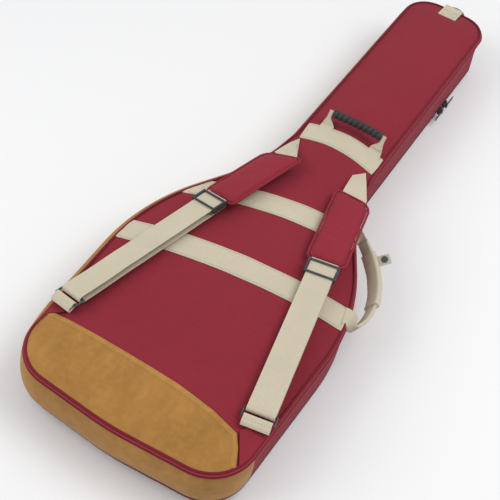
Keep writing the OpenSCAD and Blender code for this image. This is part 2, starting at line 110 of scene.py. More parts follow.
def unit_rows(v):
    return v / np.linalg.norm(v, axis=1, keepdims=True)


def turn_z(angle):
    c, s = math.cos(angle), math.sin(angle)
    return np.array([[c, -s, 0], [s, c, 0], [0, 0, 1]])


def turn_y(angle):
    c, s = math.cos(angle), math.sin(angle)
    return np.array([[c, 0, s], [0, 1, 0], [-s, 0, c]])


def turn_x(angle):
    c, s = math.cos(angle), math.sin(angle)
    return np.array([[1, 0, 0], [0, c, -s], [0, s, c]])


def add_camera():
    """The photograph's viewpoint: above the bottom end, from the handle side, with a little roll."""
    azimuth, elevation, roll = (math.radians(a) for a in (24.1, 50.3, 9.65))
    target = row((-36.1, 423.2, 0))
    distance = 1.745
    back = np.array([math.sin(azimuth) * math.cos(elevation),
                     -math.cos(azimuth) * math.cos(elevation), math.sin(elevation)])
    right = unit(np.cross(-back, (0, 0, 1)))
    up = np.cross(right, -back)
    across = math.cos(roll) * right + math.sin(roll) * up
    upright = -math.sin(roll) * right + math.cos(roll) * up
    data = bpy.data.cameras.new("camera")
    data.sensor_width = 36
    data.lens = 80.3
    camera = bpy.data.objects.new("camera", data)
    SCENE.collection.objects.link(camera)
    matrix = Matrix.Identity(4)
    for i in range(3):
        matrix[i][0], matrix[i][1], matrix[i][2] = across[i], upright[i], back[i]
        matrix[i][3] = target[i] + back[i] * distance
    camera.matrix_world = matrix
    SCENE.camera = camera


def add_light(name, place, size, power):
    data = bpy.data.lights.new(name, "AREA")
    data.size = size
    data.energy = power
    light = bpy.data.objects.new(name, data)
    light.location = place
    light.rotation_euler = (-Vector(place)).to_track_quat("-Z", "Y").to_euler()
    SCENE.collection.objects.link(light)


def add_stage():
    """A plain pale floor under soft light from above."""
    bpy.ops.mesh.primitive_plane_add(size=14, location=(0, 0, -0.0005))
    floor = bpy.context.object
    floor.name = "floor"
    paper = bpy.data.materials.new("floor_paper")
    paper.use_nodes = True
    shader = paper.node_tree.nodes["Principled BSDF"]
    shader.inputs["Base Color"].default_value = (0.83, 0.83, 0.83, 1)
    shader.inputs["Roughness"].default_value = 0.9
    floor.data.materials.append(paper)
    world = bpy.data.worlds.new("studio")
    world.use_nodes = True
    world.node_tree.nodes["Background"].inputs["Color"].default_value = (0.97, 0.98, 1.0, 1)
    world.node_tree.nodes["Background"].inputs["Strength"].default_value = 0.58
    SCENE.world = world
    SCENE.view_settings.view_transform = "Standard"
    add_light("key", (1.3, 1.0, 2.4), 1.8, 40)
    add_light("fill", (-1.6, -1.2, 1.9), 2.0, 30)


# ------------------------------------------------------------------ procedural materials
class Shader:
    """A material and short ways to wire its nodes. Constants go straight on the sockets."""

    def __init__(self, name, rough=0.8, metallic=0.0, sheen=0.0, specular=0.5):
        self.material = bpy.data.materials.new(name)
        self.material.use_nodes = True
        self.tree = self.material.node_tree
        self.bsdf = self.tree.nodes["Principled BSDF"]
        self.bsdf.inputs["Roughness"].default_value = rough
        self.bsdf.inputs["Metallic"].default_value = metallic
        self.bsdf.inputs["Sheen Weight"].default_value = sheen
        self.bsdf.inputs["Sheen Roughness"].default_value = 0.5
        self.bsdf.inputs["Specular IOR Level"].default_value = specular
        self.place = self.tree.nodes.new("ShaderNodeTexCoord").outputs["Object"]
        weave = self.tree.nodes.new("ShaderNodeUVMap")
        weave.uv_map = "weave"
        split = self.tree.nodes.new("ShaderNodeSeparateXYZ")
        self.tree.links.new(weave.outputs["UV"], split.inputs[0])
        self.u, self.v = split.outputs["X"], split.outputs["Y"]

    def put(self, socket, value):
        if isinstance(value, bpy.types.NodeSocket):
            self.tree.links.new(value, socket)
        else:
            socket.default_value = value

    def math(self, operation, a, b=0.0):
        node = self.tree.nodes.new("ShaderNodeMath")
        node.operation = operation
        self.put(node.inputs[0], a)
        self.put(node.inputs[1], b)
        return node.outputs[0]

    def noise(self, scale, detail=3.0, stretch=None):
        node = self.tree.nodes.new("ShaderNodeTexNoise")
        node.inputs["Scale"].default_value = scale
        node.inputs["Detail"].default_value = detail
        place = self.place
        if stretch:
            mapping = self.tree.nodes.new("ShaderNodeMapping")
            mapping.inputs["Scale"].default_value = stretch
            self.tree.links.new(place, mapping.inputs["Vector"])
            place = mapping.outputs[0]
        self.tree.links.new(place, node.inputs["Vector"])
        return node.outputs["Fac"]

    def ramp(self, value, low, high):
        """value, stretched so that low gives 0 and high gives 1."""
        node = self.tree.nodes.new("ShaderNodeMapRange")
        self.put(node.inputs["Value"], value)
        node.inputs["From Min"].default_value = low
        node.inputs["From Max"].default_value = high
        return node.outputs[0]

    def mix(self, share, a, b):
        node = self.tree.nodes.new("ShaderNodeMix")
        node.data_type = "RGBA"
        self.put(node.inputs["Factor"], share)
        self.put(node.inputs["A"], tuple(a) + (1,) if isinstance(a, tuple) else a)
        self.put(node.inputs["B"], tuple(b) + (1,) if isinstance(b, tuple) else b)
        return node.outputs["Result"]

    def wave(self, value, pitch):
        """A sine of value with this pitch in metres."""
        return self.math("SINE", self.math("MULTIPLY", value, 2 * math.pi / pitch))

    def finish(self, colour, height=None, depth=0.0002, rough=None):
        self.put(self.bsdf.inputs["Base Color"], colour)
        if rough is not None:
            self.put(self.bsdf.inputs["Roughness"], rough)
        if height is not None:
            bump = self.tree.nodes.new("ShaderNodeBump")
            bump.inputs["Distance"].default_value = depth
            bump.inputs["Strength"].default_value = 0.7
            self.put(bump.inputs["Height"], height)
            self.tree.links.new(bump.outputs[0], self.bsdf.inputs["Normal"])
        return self.material


def tint(colour, factor):
    return tuple(min(1.0, c * factor) for c in colour)


WINE = (0.265, 0.024, 0.039)
TAN = (0.36, 0.178, 0.046)
COTTON = (0.635, 0.565, 0.425)


def woven_cloth(name, colour, pitch=0.0011, rough=0.82):
    """Plain-woven cloth: crossed threads, slubs and a faint large mottling."""
    s = Shader(name, rough=rough, sheen=0.05, specular=0.12)
    crossing = s.math("MULTIPLY", s.wave(s.u, pitch), s.wave(s.v, pitch))
    slub = s.noise(420, 2.0, (0.12, 1, 1))
    threads = s.math("ADD", s.math("MULTIPLY", crossing, 0.35), slub)
    cloudy = s.ramp(s.noise(7, 4.0), 0.3, 0.7)
    base = s.mix(cloudy, tint(colour, 0.94), tint(colour, 1.06))
    cloth = s.mix(s.ramp(threads, 0.1, 0.95), tint(colour, 0.82), base)
    return s.finish(cloth, threads, 0.00025)


def suede_hide(name, colour):
    """Napped hide: soft blotches, brushed streaks and a fine nap."""
    s = Shader(name, rough=0.95, sheen=0.15, specular=0.1)
    blotch = s.ramp(s.noise(16, 6.0), 0.28, 0.72)
    brushed = s.ramp(s.noise(60, 5.0, (1, 0.35, 1)), 0.3, 0.75)
    scuff = s.ramp(s.noise(140, 6.0), 0.35, 0.7)
    nap = s.noise(1600, 3.0)
    base = s.mix(blotch, tint(colour, 0.76), tint(colour, 1.2))
    base = s.mix(s.math("MULTIPLY", scuff, 0.5), base, tint(colour, 1.3))
    base = s.mix(s.math("MULTIPLY", brushed, 0.6), base, tint(colour, 0.7))
    hide = s.mix(s.ramp(nap, 0.35, 0.75), base, tint(colour, 1.22))
    relief = s.math("ADD", nap, s.math("MULTIPLY", brushed, 0.7))
    return s.finish(s.mix(0.65, hide, base), relief, 0.0004)


def herringbone(name, colour):
    """Cotton webbing: chevron ribs along its length, on worn and unworn cloth."""
    pitch, period = 0.0017, 0.005
    s = Shader(name, rough=0.88, sheen=0.15, specular=0.2)
    chevron = s.math("PINGPONG", s.v, period)
    rib = s.wave(s.math("ADD", s.u, chevron), pitch)
    fibre = s.noise(900, 3.0)
    height = s.math("ADD", s.math("MULTIPLY", rib, 0.3), fibre)
    worn = s.ramp(s.noise(22, 4.0), 0.3, 0.75)
    base = s.mix(worn, tint(colour, 0.92), tint(colour, 1.05))
    cloth = s.mix(s.ramp(height, 0.15, 0.85), tint(colour, 0.74), base)
    return s.finish(cloth, height, 0.0003)


def painted_metal(name, colour):
    s = Shader(name, rough=0.4, metallic=0.75)
    wear = s.ramp(s.noise(240, 5.0), 0.52, 0.7)
    grain = s.noise(2600, 2.0)
    paint = s.mix(s.math("MULTIPLY", wear, 0.35), colour, tint(colour, 2.2))
    return s.finish(paint, grain, 0.00005, s.ramp(grain, -0.6, 1.6))


def moulded(name, colour, rough):
    s = Shader(name, rough=rough)
    grain = s.noise(1900, 2.0)
    dusty = s.ramp(s.noise(35, 4.0), 0.35, 0.7)
    return s.finish(s.mix(s.math("MULTIPLY", dusty, 0.5), colour, tint(colour, 1.9)), grain, 0.00008)


def twisted_thread(name, colour):
    s = Shader(name, rough=0.7, sheen=0.1)
    twist = s.wave(s.math("ADD", s.u, s.v), 0.0006)
    return s.finish(s.mix(s.ramp(twist, -1, 1), tint(colour, 0.7), colour), twist, 0.0001)


def closed_foam(name, colour):
    s = Shader(name, rough=0.9)
    cells = s.noise(700, 4.0)
    return s.finish(s.mix(s.ramp(cells, 0.35, 0.65), tint(colour, 0.75), colour), cells, 0.0004)


MATERIALS = {
    "wine": woven_cloth("wine_weave", WINE),
    "wine_pad": woven_cloth("wine_pad_weave", tint(WINE, 1.08), 0.0012),
    "suede_hem": suede_hide("tan_suede_hem", tint(TAN, 1.14)),
    "wine_trim": woven_cloth("wine_trim_weave", tint(WINE, 0.7), 0.0008, 0.7),
    # Lighter wine for the strand between the piping cords: a painted highlight.
    "wine_highlight": woven_cloth("wine_highlight_weave", tint(WINE, 1.45), 0.0008, 0.75),
    "suede": suede_hide("tan_suede", TAN),
    "tan_cloth": woven_cloth("tan_weave", tint(TAN, 1.12)),
    "webbing": herringbone("cotton_webbing", COTTON),
    "lining": woven_cloth("lining_weave", (0.055, 0.055, 0.06), 0.0014, 0.9),
    "tape": woven_cloth("zip_tape_weave", (0.03, 0.012, 0.015), 0.0008, 0.8),
    "metal": painted_metal("gunmetal", (0.07, 0.075, 0.08)),
    "plastic": moulded("black_acetal", (0.018, 0.018, 0.02), 0.4),
    "rubber": moulded("ribbed_rubber", (0.016, 0.016, 0.017), 0.6),
    "foam": closed_foam("grey_foam", (0.55, 0.55, 0.52)),
    "wine_thread": twisted_thread("wine_thread", tint(WINE, 0.6)),
    "tan_thread": twisted_thread("tan_thread", (0.5, 0.33, 0.13)),
    "cotton_thread": twisted_thread("cotton_thread", tint(COTTON, 0.8)),
}


# ------------------------------------------------------------------ mesh building
def mesh_piece(name, points, faces, uv, finish, body, stands_for=(), crease=50):
    """A closed mesh piece with its material, body and the CAD nodes that it stands for.
    body is None for a piece that is left without a body."""
    mesh = bpy.data.meshes.new(name)
    mesh.from_pydata([tuple(p) for p in row(points)], [], [tuple(f) for f in faces])
    layer = mesh.uv_layers.new(name="weave")
    corners = np.empty(len(mesh.loops), int)
    mesh.loops.foreach_get("vertex_index", corners)
    layer.data.foreach_set("uv", (np.asarray(uv, float) / 1000)[corners].ravel())
    mesh.polygons.foreach_set("use_smooth", [True] * len(mesh.polygons))
    mesh.set_sharp_from_angle(angle=math.radians(crease))
    mesh.materials.append(MATERIALS[finish])
    piece = bpy.data.objects.new(name, mesh)
    SCENE.collection.objects.link(piece)
    if body:
        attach(piece, body)
    if stands_for:
        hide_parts(*stands_for)
    return piece


def lengths_along(path):
    """How far along the path each of its points is."""
    return np.concatenate([[0], np.cumsum(np.linalg.norm(np.diff(path, axis=0), axis=1))])


def at_length(at, steps, values):
    """The row of values at a length along the path, steps being each row's own length."""
    return np.array([np.interp(at, steps, column) for column in values.T])


def grid_faces(n, m, start, wrap, flip=False):
    """Quads of an n by m grid of points stored row by row. wrap joins the last row to the first."""
    quads = []
    for i in range(n if wrap else n - 1):
        a, b = start + i * m, start + (i + 1) % n * m
        for j in range(m - 1):
            quads.append((a + j, b + j, b + j + 1, a + j + 1))
    return [q[::-1] for q in quads] if flip else quads


def grid_normals(grid, wrap=False):
    along = np.roll(grid, -1, 0) - np.roll(grid, 1, 0)
    if not wrap:
        along[0], along[-1] = grid[1] - grid[0], grid[-1] - grid[-2]
    across = np.gradient(grid, axis=1)
    normals = np.cross(along, across)
    return normals / np.maximum(np.linalg.norm(normals, axis=2, keepdims=True), 1e-9)


def grid_uv(grid):
    """Lengths along and across a grid of points."""
    along = np.zeros(grid.shape[:2])
    across = np.zeros(grid.shape[:2])
    along[1:] = np.cumsum(np.linalg.norm(np.diff(grid, axis=0), axis=2), 0)
    across[:, 1:] = np.cumsum(np.linalg.norm(np.diff(grid, axis=1), axis=2), 1)
    middle = grid.shape[1] // 2
    return np.stack([np.repeat(along[:, middle:middle + 1], grid.shape[1], 1),
                     across - across[:, middle:middle + 1]], 2).reshape(-1, 2)


def slab_piece(name, grid, thick, finish, body, stands_for=(), wrap=False, *, edge):
    """A sheet of cloth: the grid is its underside and thick its depth along the grid's normals.
    edge thins the two long edges, so that they look folded and soft."""
    n, m = grid.shape[:2]
    depth = np.full(m, float(thick))
    depth[0] = depth[-1] = thick * edge
    if m > 4:
        depth[1] = depth[-2] = thick * (0.5 + edge / 2)
    normals = grid_normals(grid, wrap)
    upper = grid + normals * depth[None, :, None]
    points = np.concatenate([upper.reshape(-1, 3), grid.reshape(-1, 3)])
    uv = np.tile(grid_uv(grid), (2, 1))
    shift = n * m
    faces = grid_faces(n, m, 0, wrap) + grid_faces(n, m, shift, wrap, True)
    for i in range(n if wrap else n - 1):
        a, b = i * m, (i + 1) % n * m
        faces.append((b, a, a + shift, b + shift))
        faces.append((a + m - 1, b + m - 1, b + m - 1 + shift, a + m - 1 + shift))
    if not wrap:
        last = (n - 1) * m
        for j in range(m - 1):
            faces.append((j, j + 1, j + 1 + shift, j + shift))
            faces.append((last + j + 1, last + j, last + j + shift, last + j + 1 + shift))
    return mesh_piece(name, points, faces, uv, finish, body, stands_for)


def path_frames(path, closed, up):
    """Tangent, side and upright directions along a path."""
    path = np.asarray(path, float)
    tangent = np.roll(path, -1, 0) - np.roll(path, 1, 0)
    if not closed:
        tangent[0], tangent[-1] = path[1] - path[0], path[-1] - path[-2]
    tangent = unit_rows(tangent)
    side = np.cross(tangent, np.broadcast_to(np.asarray(up, float), path.shape))
    side /= np.maximum(np.linalg.norm(side, axis=1, keepdims=True), 1e-9)
    return tangent, side, np.cross(side, tangent)


def sweep_points(path, section, closed, up):
    """Grid of points: the section's (side, upright) pairs carried along the path."""
    path = np.asarray(path, float)
    section = np.asarray(section, float)
    _, side, upright = path_frames(path, closed, up)
    if section.ndim == 2:
        section = np.broadcast_to(section, (len(path),) + section.shape)
    return (path[:, None] + side[:, None] * section[..., :1] + upright[:, None] * section[..., 1:])


def sweep_piece(name, path, section, finish, body, closed=False, stands_for=(), up=(0, 0, 1),
                crease=50):
    """A closed section swept along a path, capped at open ends."""
    grid = sweep_points(path, section, closed, up)
    n, m = grid.shape[:2]
    ring = np.concatenate([grid, grid[:, :1]], 1)
    length = lengths_along(path)
    round_uv = lengths_along(ring[0])[:m]
    uv = np.stack(np.meshgrid(length[:n], round_uv, indexing="ij"), 2).reshape(-1, 2)
    faces = []
    for i in range(n if closed else n - 1):
        a, b = i * m, (i + 1) % n * m
        faces += [(a + j, a + (j + 1) % m, b + (j + 1) % m, b + j) for j in range(m)]
    if not closed:
        faces.append(tuple(range(m))[::-1])
        faces.append(tuple((n - 1) * m + j for j in range(m)))
    return mesh_piece(name, grid.reshape(-1, 3), faces, uv, finish, body, stands_for, crease)


def circle_section(radius, sides, flat=1.0):
    angles = np.arange(sides) * 2 * math.pi / sides
    return np.stack([radius * np.cos(angles), radius * flat * np.sin(angles)], 1)


def band_section(width, thick, corner, steps):
    """Rounded rectangle, width across and thick upright."""
    points = []
    for sx, sy, start in ((1, 1, 0), (-1, 1, 90), (-1, -1, 180), (1, -1, 270)):
        r = thick * corner
        for k in range(steps + 1):
            a = math.radians(start + 90 * k / steps)
            points.append((sx * (width / 2 - r) + r * math.cos(a),
                           sy * (thick / 2 - r) + r * math.sin(a)))
    return np.array(points)


def stitch_row(name, runs, finish, body, length=2.6, gap=1.5, radius=0.32):
    """Rows of raised stitches. Each run is (points, normals) along a surface."""
    points, faces, uv = [], [], []
    sides = 6
    rings = ((-0.5, 0.25), (-0.32, 0.9), (0.32, 0.9), (0.5, 0.25))
    for path, normals in runs:
        path, normals = np.asarray(path, float), np.asarray(normals, float)
        steps = lengths_along(path)
        count = max(1, int(steps[-1] / (length + gap)))
        for k in range(count):
            at = (k + 0.5) * steps[-1] / count
            centre = at_length(at, steps, path)
            ahead = at_length(at + 0.5, steps, path)
            behind = at_length(at - 0.5, steps, path)
            normal = unit(at_length(at, steps, normals))
            tangent = unit(ahead - behind)
            side = unit(np.cross(tangent, normal))
            base = len(points)
            for share, wide in rings:
                for j in range(sides):
                    a = 2 * math.pi * j / sides
                    points.append(centre + tangent * length * share
                                  + (side * math.cos(a) + normal * math.sin(a)) * radius * wide)
                    uv.append((at + share * length, radius * a))
            for q in range(len(rings) - 1):
                for j in range(sides):
                    a, b = base + q * sides, base + (q + 1) * sides
                    faces.append((a + j, b + j, b + (j + 1) % sides, a + (j + 1) % sides))
            faces.append(tuple(base + j for j in range(sides)))
            top = base + (len(rings) - 1) * sides
            faces.append(tuple(top + j for j in range(sides))[::-1])
    return mesh_piece(name, points, faces, uv, finish, body, crease=80)


# ------------------------------------------------------------------ the seam outline
def rounded_outline(corners, inset, step=5.0):
    """Closed outline through rounded corners, moved inset inwards. Every inset of the same
    corners has the same number of points, so rings of different insets match."""
    corners = [np.array(c, float) for c in corners]
    count = len(corners)
    directions = [unit((corners[(i + 1) % count] - corners[i])[:2]) for i in range(count)]
    moved, bends = [], []
    for i, corner in enumerate(corners):
        u, v = directions[i - 1], directions[i]
        nu, nv = np.array([-u[1], u[0]]), np.array([-v[1], v[0]])
        bend = math.atan2(u[0] * v[1] - u[1] * v[0], float(u @ v))
        moved.append((corner[:2] + (nu + nv) * inset / (1 + float(nu @ nv)),
                      corner[2] - inset * np.sign(bend)))
        bends.append(bend)
    points = []
    for i in range(count):
        (place, radius), bend, u = moved[i], bends[i], directions[i - 1]
        sign = np.sign(bend)
        start = place - u * radius * math.tan(abs(bend) / 2)
        centre = start + np.array([-u[1], u[0]]) * sign * radius
        pieces = max(3, round(corners[i][2] * abs(bend) / step))
        for k in range(pieces + 1):
            a = bend * k / pieces
            spoke = start - centre
            points.append(centre + (spoke[0] * math.cos(a) - spoke[1] * math.sin(a),
                                    spoke[0] * math.sin(a) + spoke[1] * math.cos(a)))
        following, next_radius = moved[(i + 1) % count]
        reach = next_radius * math.tan(abs(bends[(i + 1) % count]) / 2)
        goal = following - directions[i] * reach
        base_run = np.linalg.norm((corners[(i + 1) % count] - corners[i])[:2])
        base_run -= corners[i][2] * math.tan(abs(bend) / 2)
        base_run -= corners[(i + 1) % count][2] * math.tan(abs(bends[(i + 1) % count]) / 2)
        pieces = max(1, round(base_run / step))
        points += [points[-1] + (goal - points[-1]) * k / pieces for k in range(1, pieces)]
    return np.array(points)


def seam_corners():
    right = HALF_CORNERS
    left = [(-x, y, r) for x, y, r in reversed(HALF_CORNERS)]
    return [(0, 0, END_RADIUS)] + right + [(0, BAG_L, END_RADIUS)] + left


def seam_outline(inset):
    return rounded_outline(seam_corners(), inset)


def outward(outline):
    tangent = np.roll(outline, -1, 0) - np.roll(outline, 1, 0)
    tangent = unit_rows(tangent)
    return np.stack([tangent[:, 1], -tangent[:, 0]], 1)


SEAM = seam_outline(0)
SEAM_OUT = outward(SEAM)
SPINE_LOW, SPINE_HIGH = 130.0, 990.0


def smooth_step(x, low, high):
    t = np.clip((np.asarray(x, float) - low) / (high - low), 0, 1)
    return t * t * (3 - 2 * t)


def crown(y):
    return 12 + 12 * np.exp(-((y - 300) / 170) ** 2)


def ripple(x, y, seed):
    """Smooth seeded unevenness of a stuffed cloth, about -1 to 1."""
    rng = np.random.default_rng(seed)
    total = np.zeros(np.broadcast(x, y).shape)
    for length in (170, 120, 85, 60, 44):
        angle, phase = rng.uniform(0, math.pi), rng.uniform(0, 2 * math.pi)
        total += np.sin((x * math.cos(angle) + y * math.sin(angle)) * 2 * math.pi / length
                        + phase) * length / 170
    return total / 2.2


def ring_sheet(outline, shares, centre, upper, lower):
    """Points and faces of a closed cloth over an outline: rings shrink towards centre(point) on
    top, and back out below. upper and lower give z for (share, x, y)."""
    n = len(outline)
    middle = np.array([centre(p) for p in outline])
    rings = []
    for k in shares:
        flat = middle + k * (outline - middle)
        rings.append(np.column_stack([flat, upper(k, flat[:, 0], flat[:, 1], middle[:, 1])]))
    for k in reversed(shares):
        flat = middle + k * (outline - middle)
        rings.append(np.column_stack([flat, lower(k, flat[:, 0], flat[:, 1], middle[:, 1])]))
    grid = np.array(rings)
    faces = []
    m = len(grid)
    for i in range(m):
        a, b = i * n, (i + 1) % m * n
        if i == len(shares) - 1:
            continue
        faces += [(a + j, a + (j + 1) % n, b + (j + 1) % n, b + j) for j in range(n)]
    return grid, faces


def ring_sheet_piece(name, outline, shares, centre, upper, lower, finish, body, stands_for):
    grid, faces = ring_sheet(outline, shares, centre, upper, lower)
    points = grid.reshape(-1, 3)
    piece = mesh_piece(name, points, faces, points[:, :2], finish, body, stands_for)
    tidy(piece)
    return piece


def tidy(piece):
    """Joins the points that meet along the middle, and drops the faces that vanish there."""
    import bmesh
    mesh = bmesh.new()
    mesh.from_mesh(piece.data)
    bmesh.ops.remove_doubles(mesh, verts=mesh.verts, dist=2e-6)
    bmesh.ops.dissolve_degenerate(mesh, edges=mesh.edges, dist=1e-7)
    bmesh.ops.recalc_face_normals(mesh, faces=mesh.faces)
    mesh.to_mesh(piece.data)
    mesh.free()


def spine(p):
    return np.array([0.0, min(max(p[1], SPINE_LOW), SPINE_HIGH)])


# ------------------------------------------------------------------ back panel
def panel_height(k, x, y, spine_y):
    """Top of the crowned back panel, with puckers along its seam."""
    swell = crown(spine_y) * (1 - k ** 2)
    uneven = 1.1 * ripple(x, y, 4) * min(1.0, (1 - k) * 5)
    pucker = 0.5 * np.sin(y / 6.5 + x / 9) * math.exp(-((1 - k) / 0.06)) * (1 - k) * 12
    return SEAM_Z + 0.3 + swell + uneven + pucker


PANEL_SHARES = [1, 0.985, 0.96, 0.93, 0.89, 0.85, 0.8, 0.75, 0.7, 0.64, 0.58, 0.52, 0.46, 0.4,
                0.34, 0.28, 0.22, 0.16, 0.1, 0.05, 0.0]


def build_back_panel():
    """The crowned cloth of the back, which the trims are then laid on."""
    return ring_sheet_piece("back_cloth", seam_outline(2), PANEL_SHARES, spine, panel_height,
                            lambda k, x, y, s: panel_height(k, x, y, s) - 1.6,
                            "wine", "back_half", ["back_panel"])


def surface_of(piece):
    """Search tree of a piece's surface, in the frame's metres."""
    mesh = piece.data
    return BVHTree.FromPolygons([v.co for v in mesh.vertices],
                                [tuple(p.vertices) for p in mesh.polygons])


class Ground:
    """The crowned back as other pieces lie on it."""

    def __init__(self, piece):
        self.tree = surface_of(piece)

    def height(self, x, y):
        """z of the panel at x, y. Past its edge the height of the nearest edge point."""
        for pull in (0, 2, 4, 7, 11, 16):
            place, spot = np.array([x, y], float), spine((x, y))
            run = np.linalg.norm(place - spot)
            at = place if not pull else spot + (place - spot) * max(0.0, 1 - pull / run)
            hit = self.tree.ray_cast(Vector(row((at[0], at[1], 200.0))), Vector((0, 0, -1)))
            if hit[0] is not None:
                return hit[0].z * 1000
        return SEAM_Z

    def drape(self, flat, lift):
        """Puts a grid of x, y points on the panel, lifted off it."""
        z = np.array([[self.height(x, y) for x, y in line] for line in flat])
        return np.dstack([flat, z + lift])


# ------------------------------------------------------------------ walls
def wall_bulge(points, t):
    """How far the wall stands out at share t of its way down from the seam. The left side rolls
    out right under its piping, and the handle side is drawn in a little."""
    x, y = points[:, 0], points[:, 1]
    left = smooth_step(-x, -60, 60)
    low = 1 - smooth_step(y, 20, 120)
    body = 1 - smooth_step(y, 430, 600)
    sag = math.sin(math.pi * t ** 1.25) ** 0.7
    rolled = math.sin(math.pi * t ** 0.5) ** 0.8
    right = (1 - left) * (1 - low)
    flat = 1 - 0.9 * smooth_step(y, 1000, 1040)
    return flat * (left * (1 - low) * (7 + 5 * body) * rolled - 2.0 * right * sag
                   + low * (6.6 + 2 * left) * sag)


def wall_grid(first, last, inset, rows=26, bulge=1.0):
    """Grid of a stretch of wall, down from the seam, between two indices of the outline."""
    index = np.arange(first, last + 1) % len(SEAM)
    base, out = SEAM[index], SEAM_OUT[index]
    lines = []
    for r in range(rows + 1):
        t = r / rows
        z = PANEL_Z + 0.2 + (GUSSET_LOW - PANEL_Z - 0.2) * t
        uneven = 0.5 * ripple(base[:, 0] + base[:, 1], np.full(len(base), z * 2.0), 9)
        shift = wall_bulge(base, t) * bulge - inset + uneven * math.sin(math.pi * t)
        lines.append(np.column_stack([base + out * shift[:, None], np.full(len(base), z)]))
    return np.array(lines).transpose(1, 0, 2)


def seam_index(x, y):
    return int(np.argmin(np.hypot(SEAM[:, 0] - x, SEAM[:, 1] - y)))


def build_walls():
    """Six stretches of wall between the seam and the zip, and one lining behind them all."""
    n = len(SEAM)
    suede_end = seam_index(174, 76)
    left_low = seam_index(-178, 82)
    waist_left = seam_index(-88, 508)
    head_left = seam_index(-72, 1000)
    head_right = seam_index(72, 1000)
    waist_right = seam_index(88, 508)
    stretches = [
        ("bottom_wall", left_low, suede_end + n, "suede", ["gusset_bottom"]),
        ("left_body_wall", waist_left, left_low, "suede", ["gusset_left_body"]),
        ("left_neck_wall", head_left, waist_left, "tan_cloth", ["gusset_left_neck"]),
        ("head_wall", head_right, head_left, "wine", ["gusset_head"]),
        ("right_neck_wall", waist_right, head_right, "wine", ["gusset_right_neck"]),
        ("right_body_wall", suede_end, waist_right, "wine", ["gusset_right_body"]),
    ]
    for name, first, last, finish, stands_for in stretches:
        grid = wall_grid(first, last, inset=2.0)
        slab_piece(name, grid[:, ::-1], 2.0, finish, "back_half", stands_for, edge=0.8)
    full = wall_grid(0, n - 1, rows=8, inset=6.6, bulge=0.0)
    slab_piece("wall_lining", full, 1.0, "lining", "back_half", wrap=True, edge=1)


# ------------------------------------------------------------------ piping and zips
def closed_path(outline, z):
    return np.column_stack([outline, np.full(len(outline), float(z))])


def build_piping():
    """Two thin cords along the seam with a thin strand between them, coloured lighter as a painted
    highlight.
    """
    wave = 0.3 * np.sin(np.arange(len(SEAM)) / 9)
    for name, inset, drop, radius, finish in (("back_piping_cord", 0.9, -1.5, 1.8, "wine_trim"),
                                              # the middle strand's lighter colour is a painted
                                              # highlight
                                              ("back_piping_edge", -1.3, 1.2, 1.5, "wine_highlight"),
                                              ("back_piping_welt", -2.4, 4.1, 1.7, "wine_trim")):
        line = closed_path(seam_outline(inset), SEAM_Z - drop)
        line[:, 2] += wave
        nodes = ["back_piping"] if inset > 0 else []
        sweep_piece(name, line, circle_section(radius, 10), finish, "back_half", True, nodes)


def zip_stretch():
    """Outline indices of the opening stretch, round from the hinge's low end to its high end."""
    first = seam_index(-176, 70)
    last = seam_index(-178, 330)
    return np.arange(first, last + len(SEAM) if last < first else last + 1) % len(SEAM)


def teeth_row(name, path, out, z, rise, pitch, body, offset):
    """One row of moulded teeth along a zip, each a small block on the tape's edge."""
    steps = lengths_along(path)
    count = int(steps[-1] / pitch) - 1
    points, faces, uv = [], [], []
    for k in range(count):
        at = (k + offset) * pitch
        place = at_length(at, steps, path)
        normal = unit(at_length(at, steps, out))
        tangent = np.array([-normal[1], normal[0]])
        base = len(points)
        for depth, wide, tall in ((-1.1, 0.5, 0.0), (1.1, 0.5, 0.0), (1.1, 0.62, 1.0),
                                  (-1.1, 0.62, 1.0)):
            for s in (-1, 1):
                flat = place + normal * depth + tangent * s * wide
                points.append((flat[0], flat[1], z + rise * tall))
                uv.append((at + s * wide, depth))
        a = base
        faces += [(a, a + 1, a + 3, a + 2), (a + 4, a + 5, a + 7, a + 6), (a + 2, a + 3, a + 5, a + 4),
                  (a + 6, a + 7, a + 1, a), (a, a + 2, a + 4, a + 6), (a + 1, a + 7, a + 5, a + 3)]
    piece = mesh_piece(name, points, faces, uv, "plastic", body, crease=30)
    tidy(piece)


def build_main_zip():
    """Two tapes with a row of teeth each, on either side of the split."""
    index = zip_stretch()
    levels = (("zip_tape_lower", 13.1, 15.2, "front_half", "zip_lower"),
              ("zip_tape_upper", 15.8, 18.2, "back_half", "zip_upper"))
    for name, low, high, body, node in levels:
        lines = []
        for inset, z in ((7.2, low), (1.6, low), (1.2, (low + high) / 2), (1.6, high), (7.2, high)):
            lines.append(np.column_stack([seam_outline(inset)[index], np.full(len(index), z)]))
        grid = np.array(lines).transpose(1, 0, 2)
        slab_piece(name, grid, 0.5, "tape", body, [node], edge=1)
    path, out = seam_outline(1.2)[index], SEAM_OUT[index]
    teeth_row("zip_teeth_lower", path, out, 15.25, -1.2, 3.0, "front_half", 0.0)
    teeth_row("zip_teeth_upper", path, out, 15.75, 1.2, 3.0, "back_half", 0.5)


# ------------------------------------------------------------------ cloth lying on the back
def nearest_inside(points, edge):
    """Moves each x, y that lies outside the closed edge onto its nearest point of the edge."""
    after = np.roll(edge, -1, 0)
    moved = []
    for p in points:
        crosses = ((edge[:, 1] > p[1]) != (after[:, 1] > p[1]))
        slope = np.where(after[:, 1] == edge[:, 1], 1, after[:, 1] - edge[:, 1])
        reach = (after[:, 0] - edge[:, 0]) * (p[1] - edge[:, 1]) / slope + edge[:, 0]
        if (crosses & (p[0] < reach)).sum() % 2:
            moved.append(p)
            continue
        run = after - edge
        share = np.clip(((p - edge) * run).sum(1) / np.maximum((run ** 2).sum(1), 1e-9), 0, 1)
        near = edge + run * share[:, None]
        moved.append(near[np.argmin(np.hypot(*(near - p).T))])
    return np.array(moved)


TRIM_EDGE = seam_outline(0.6)
BAND_LIFT = 0.3


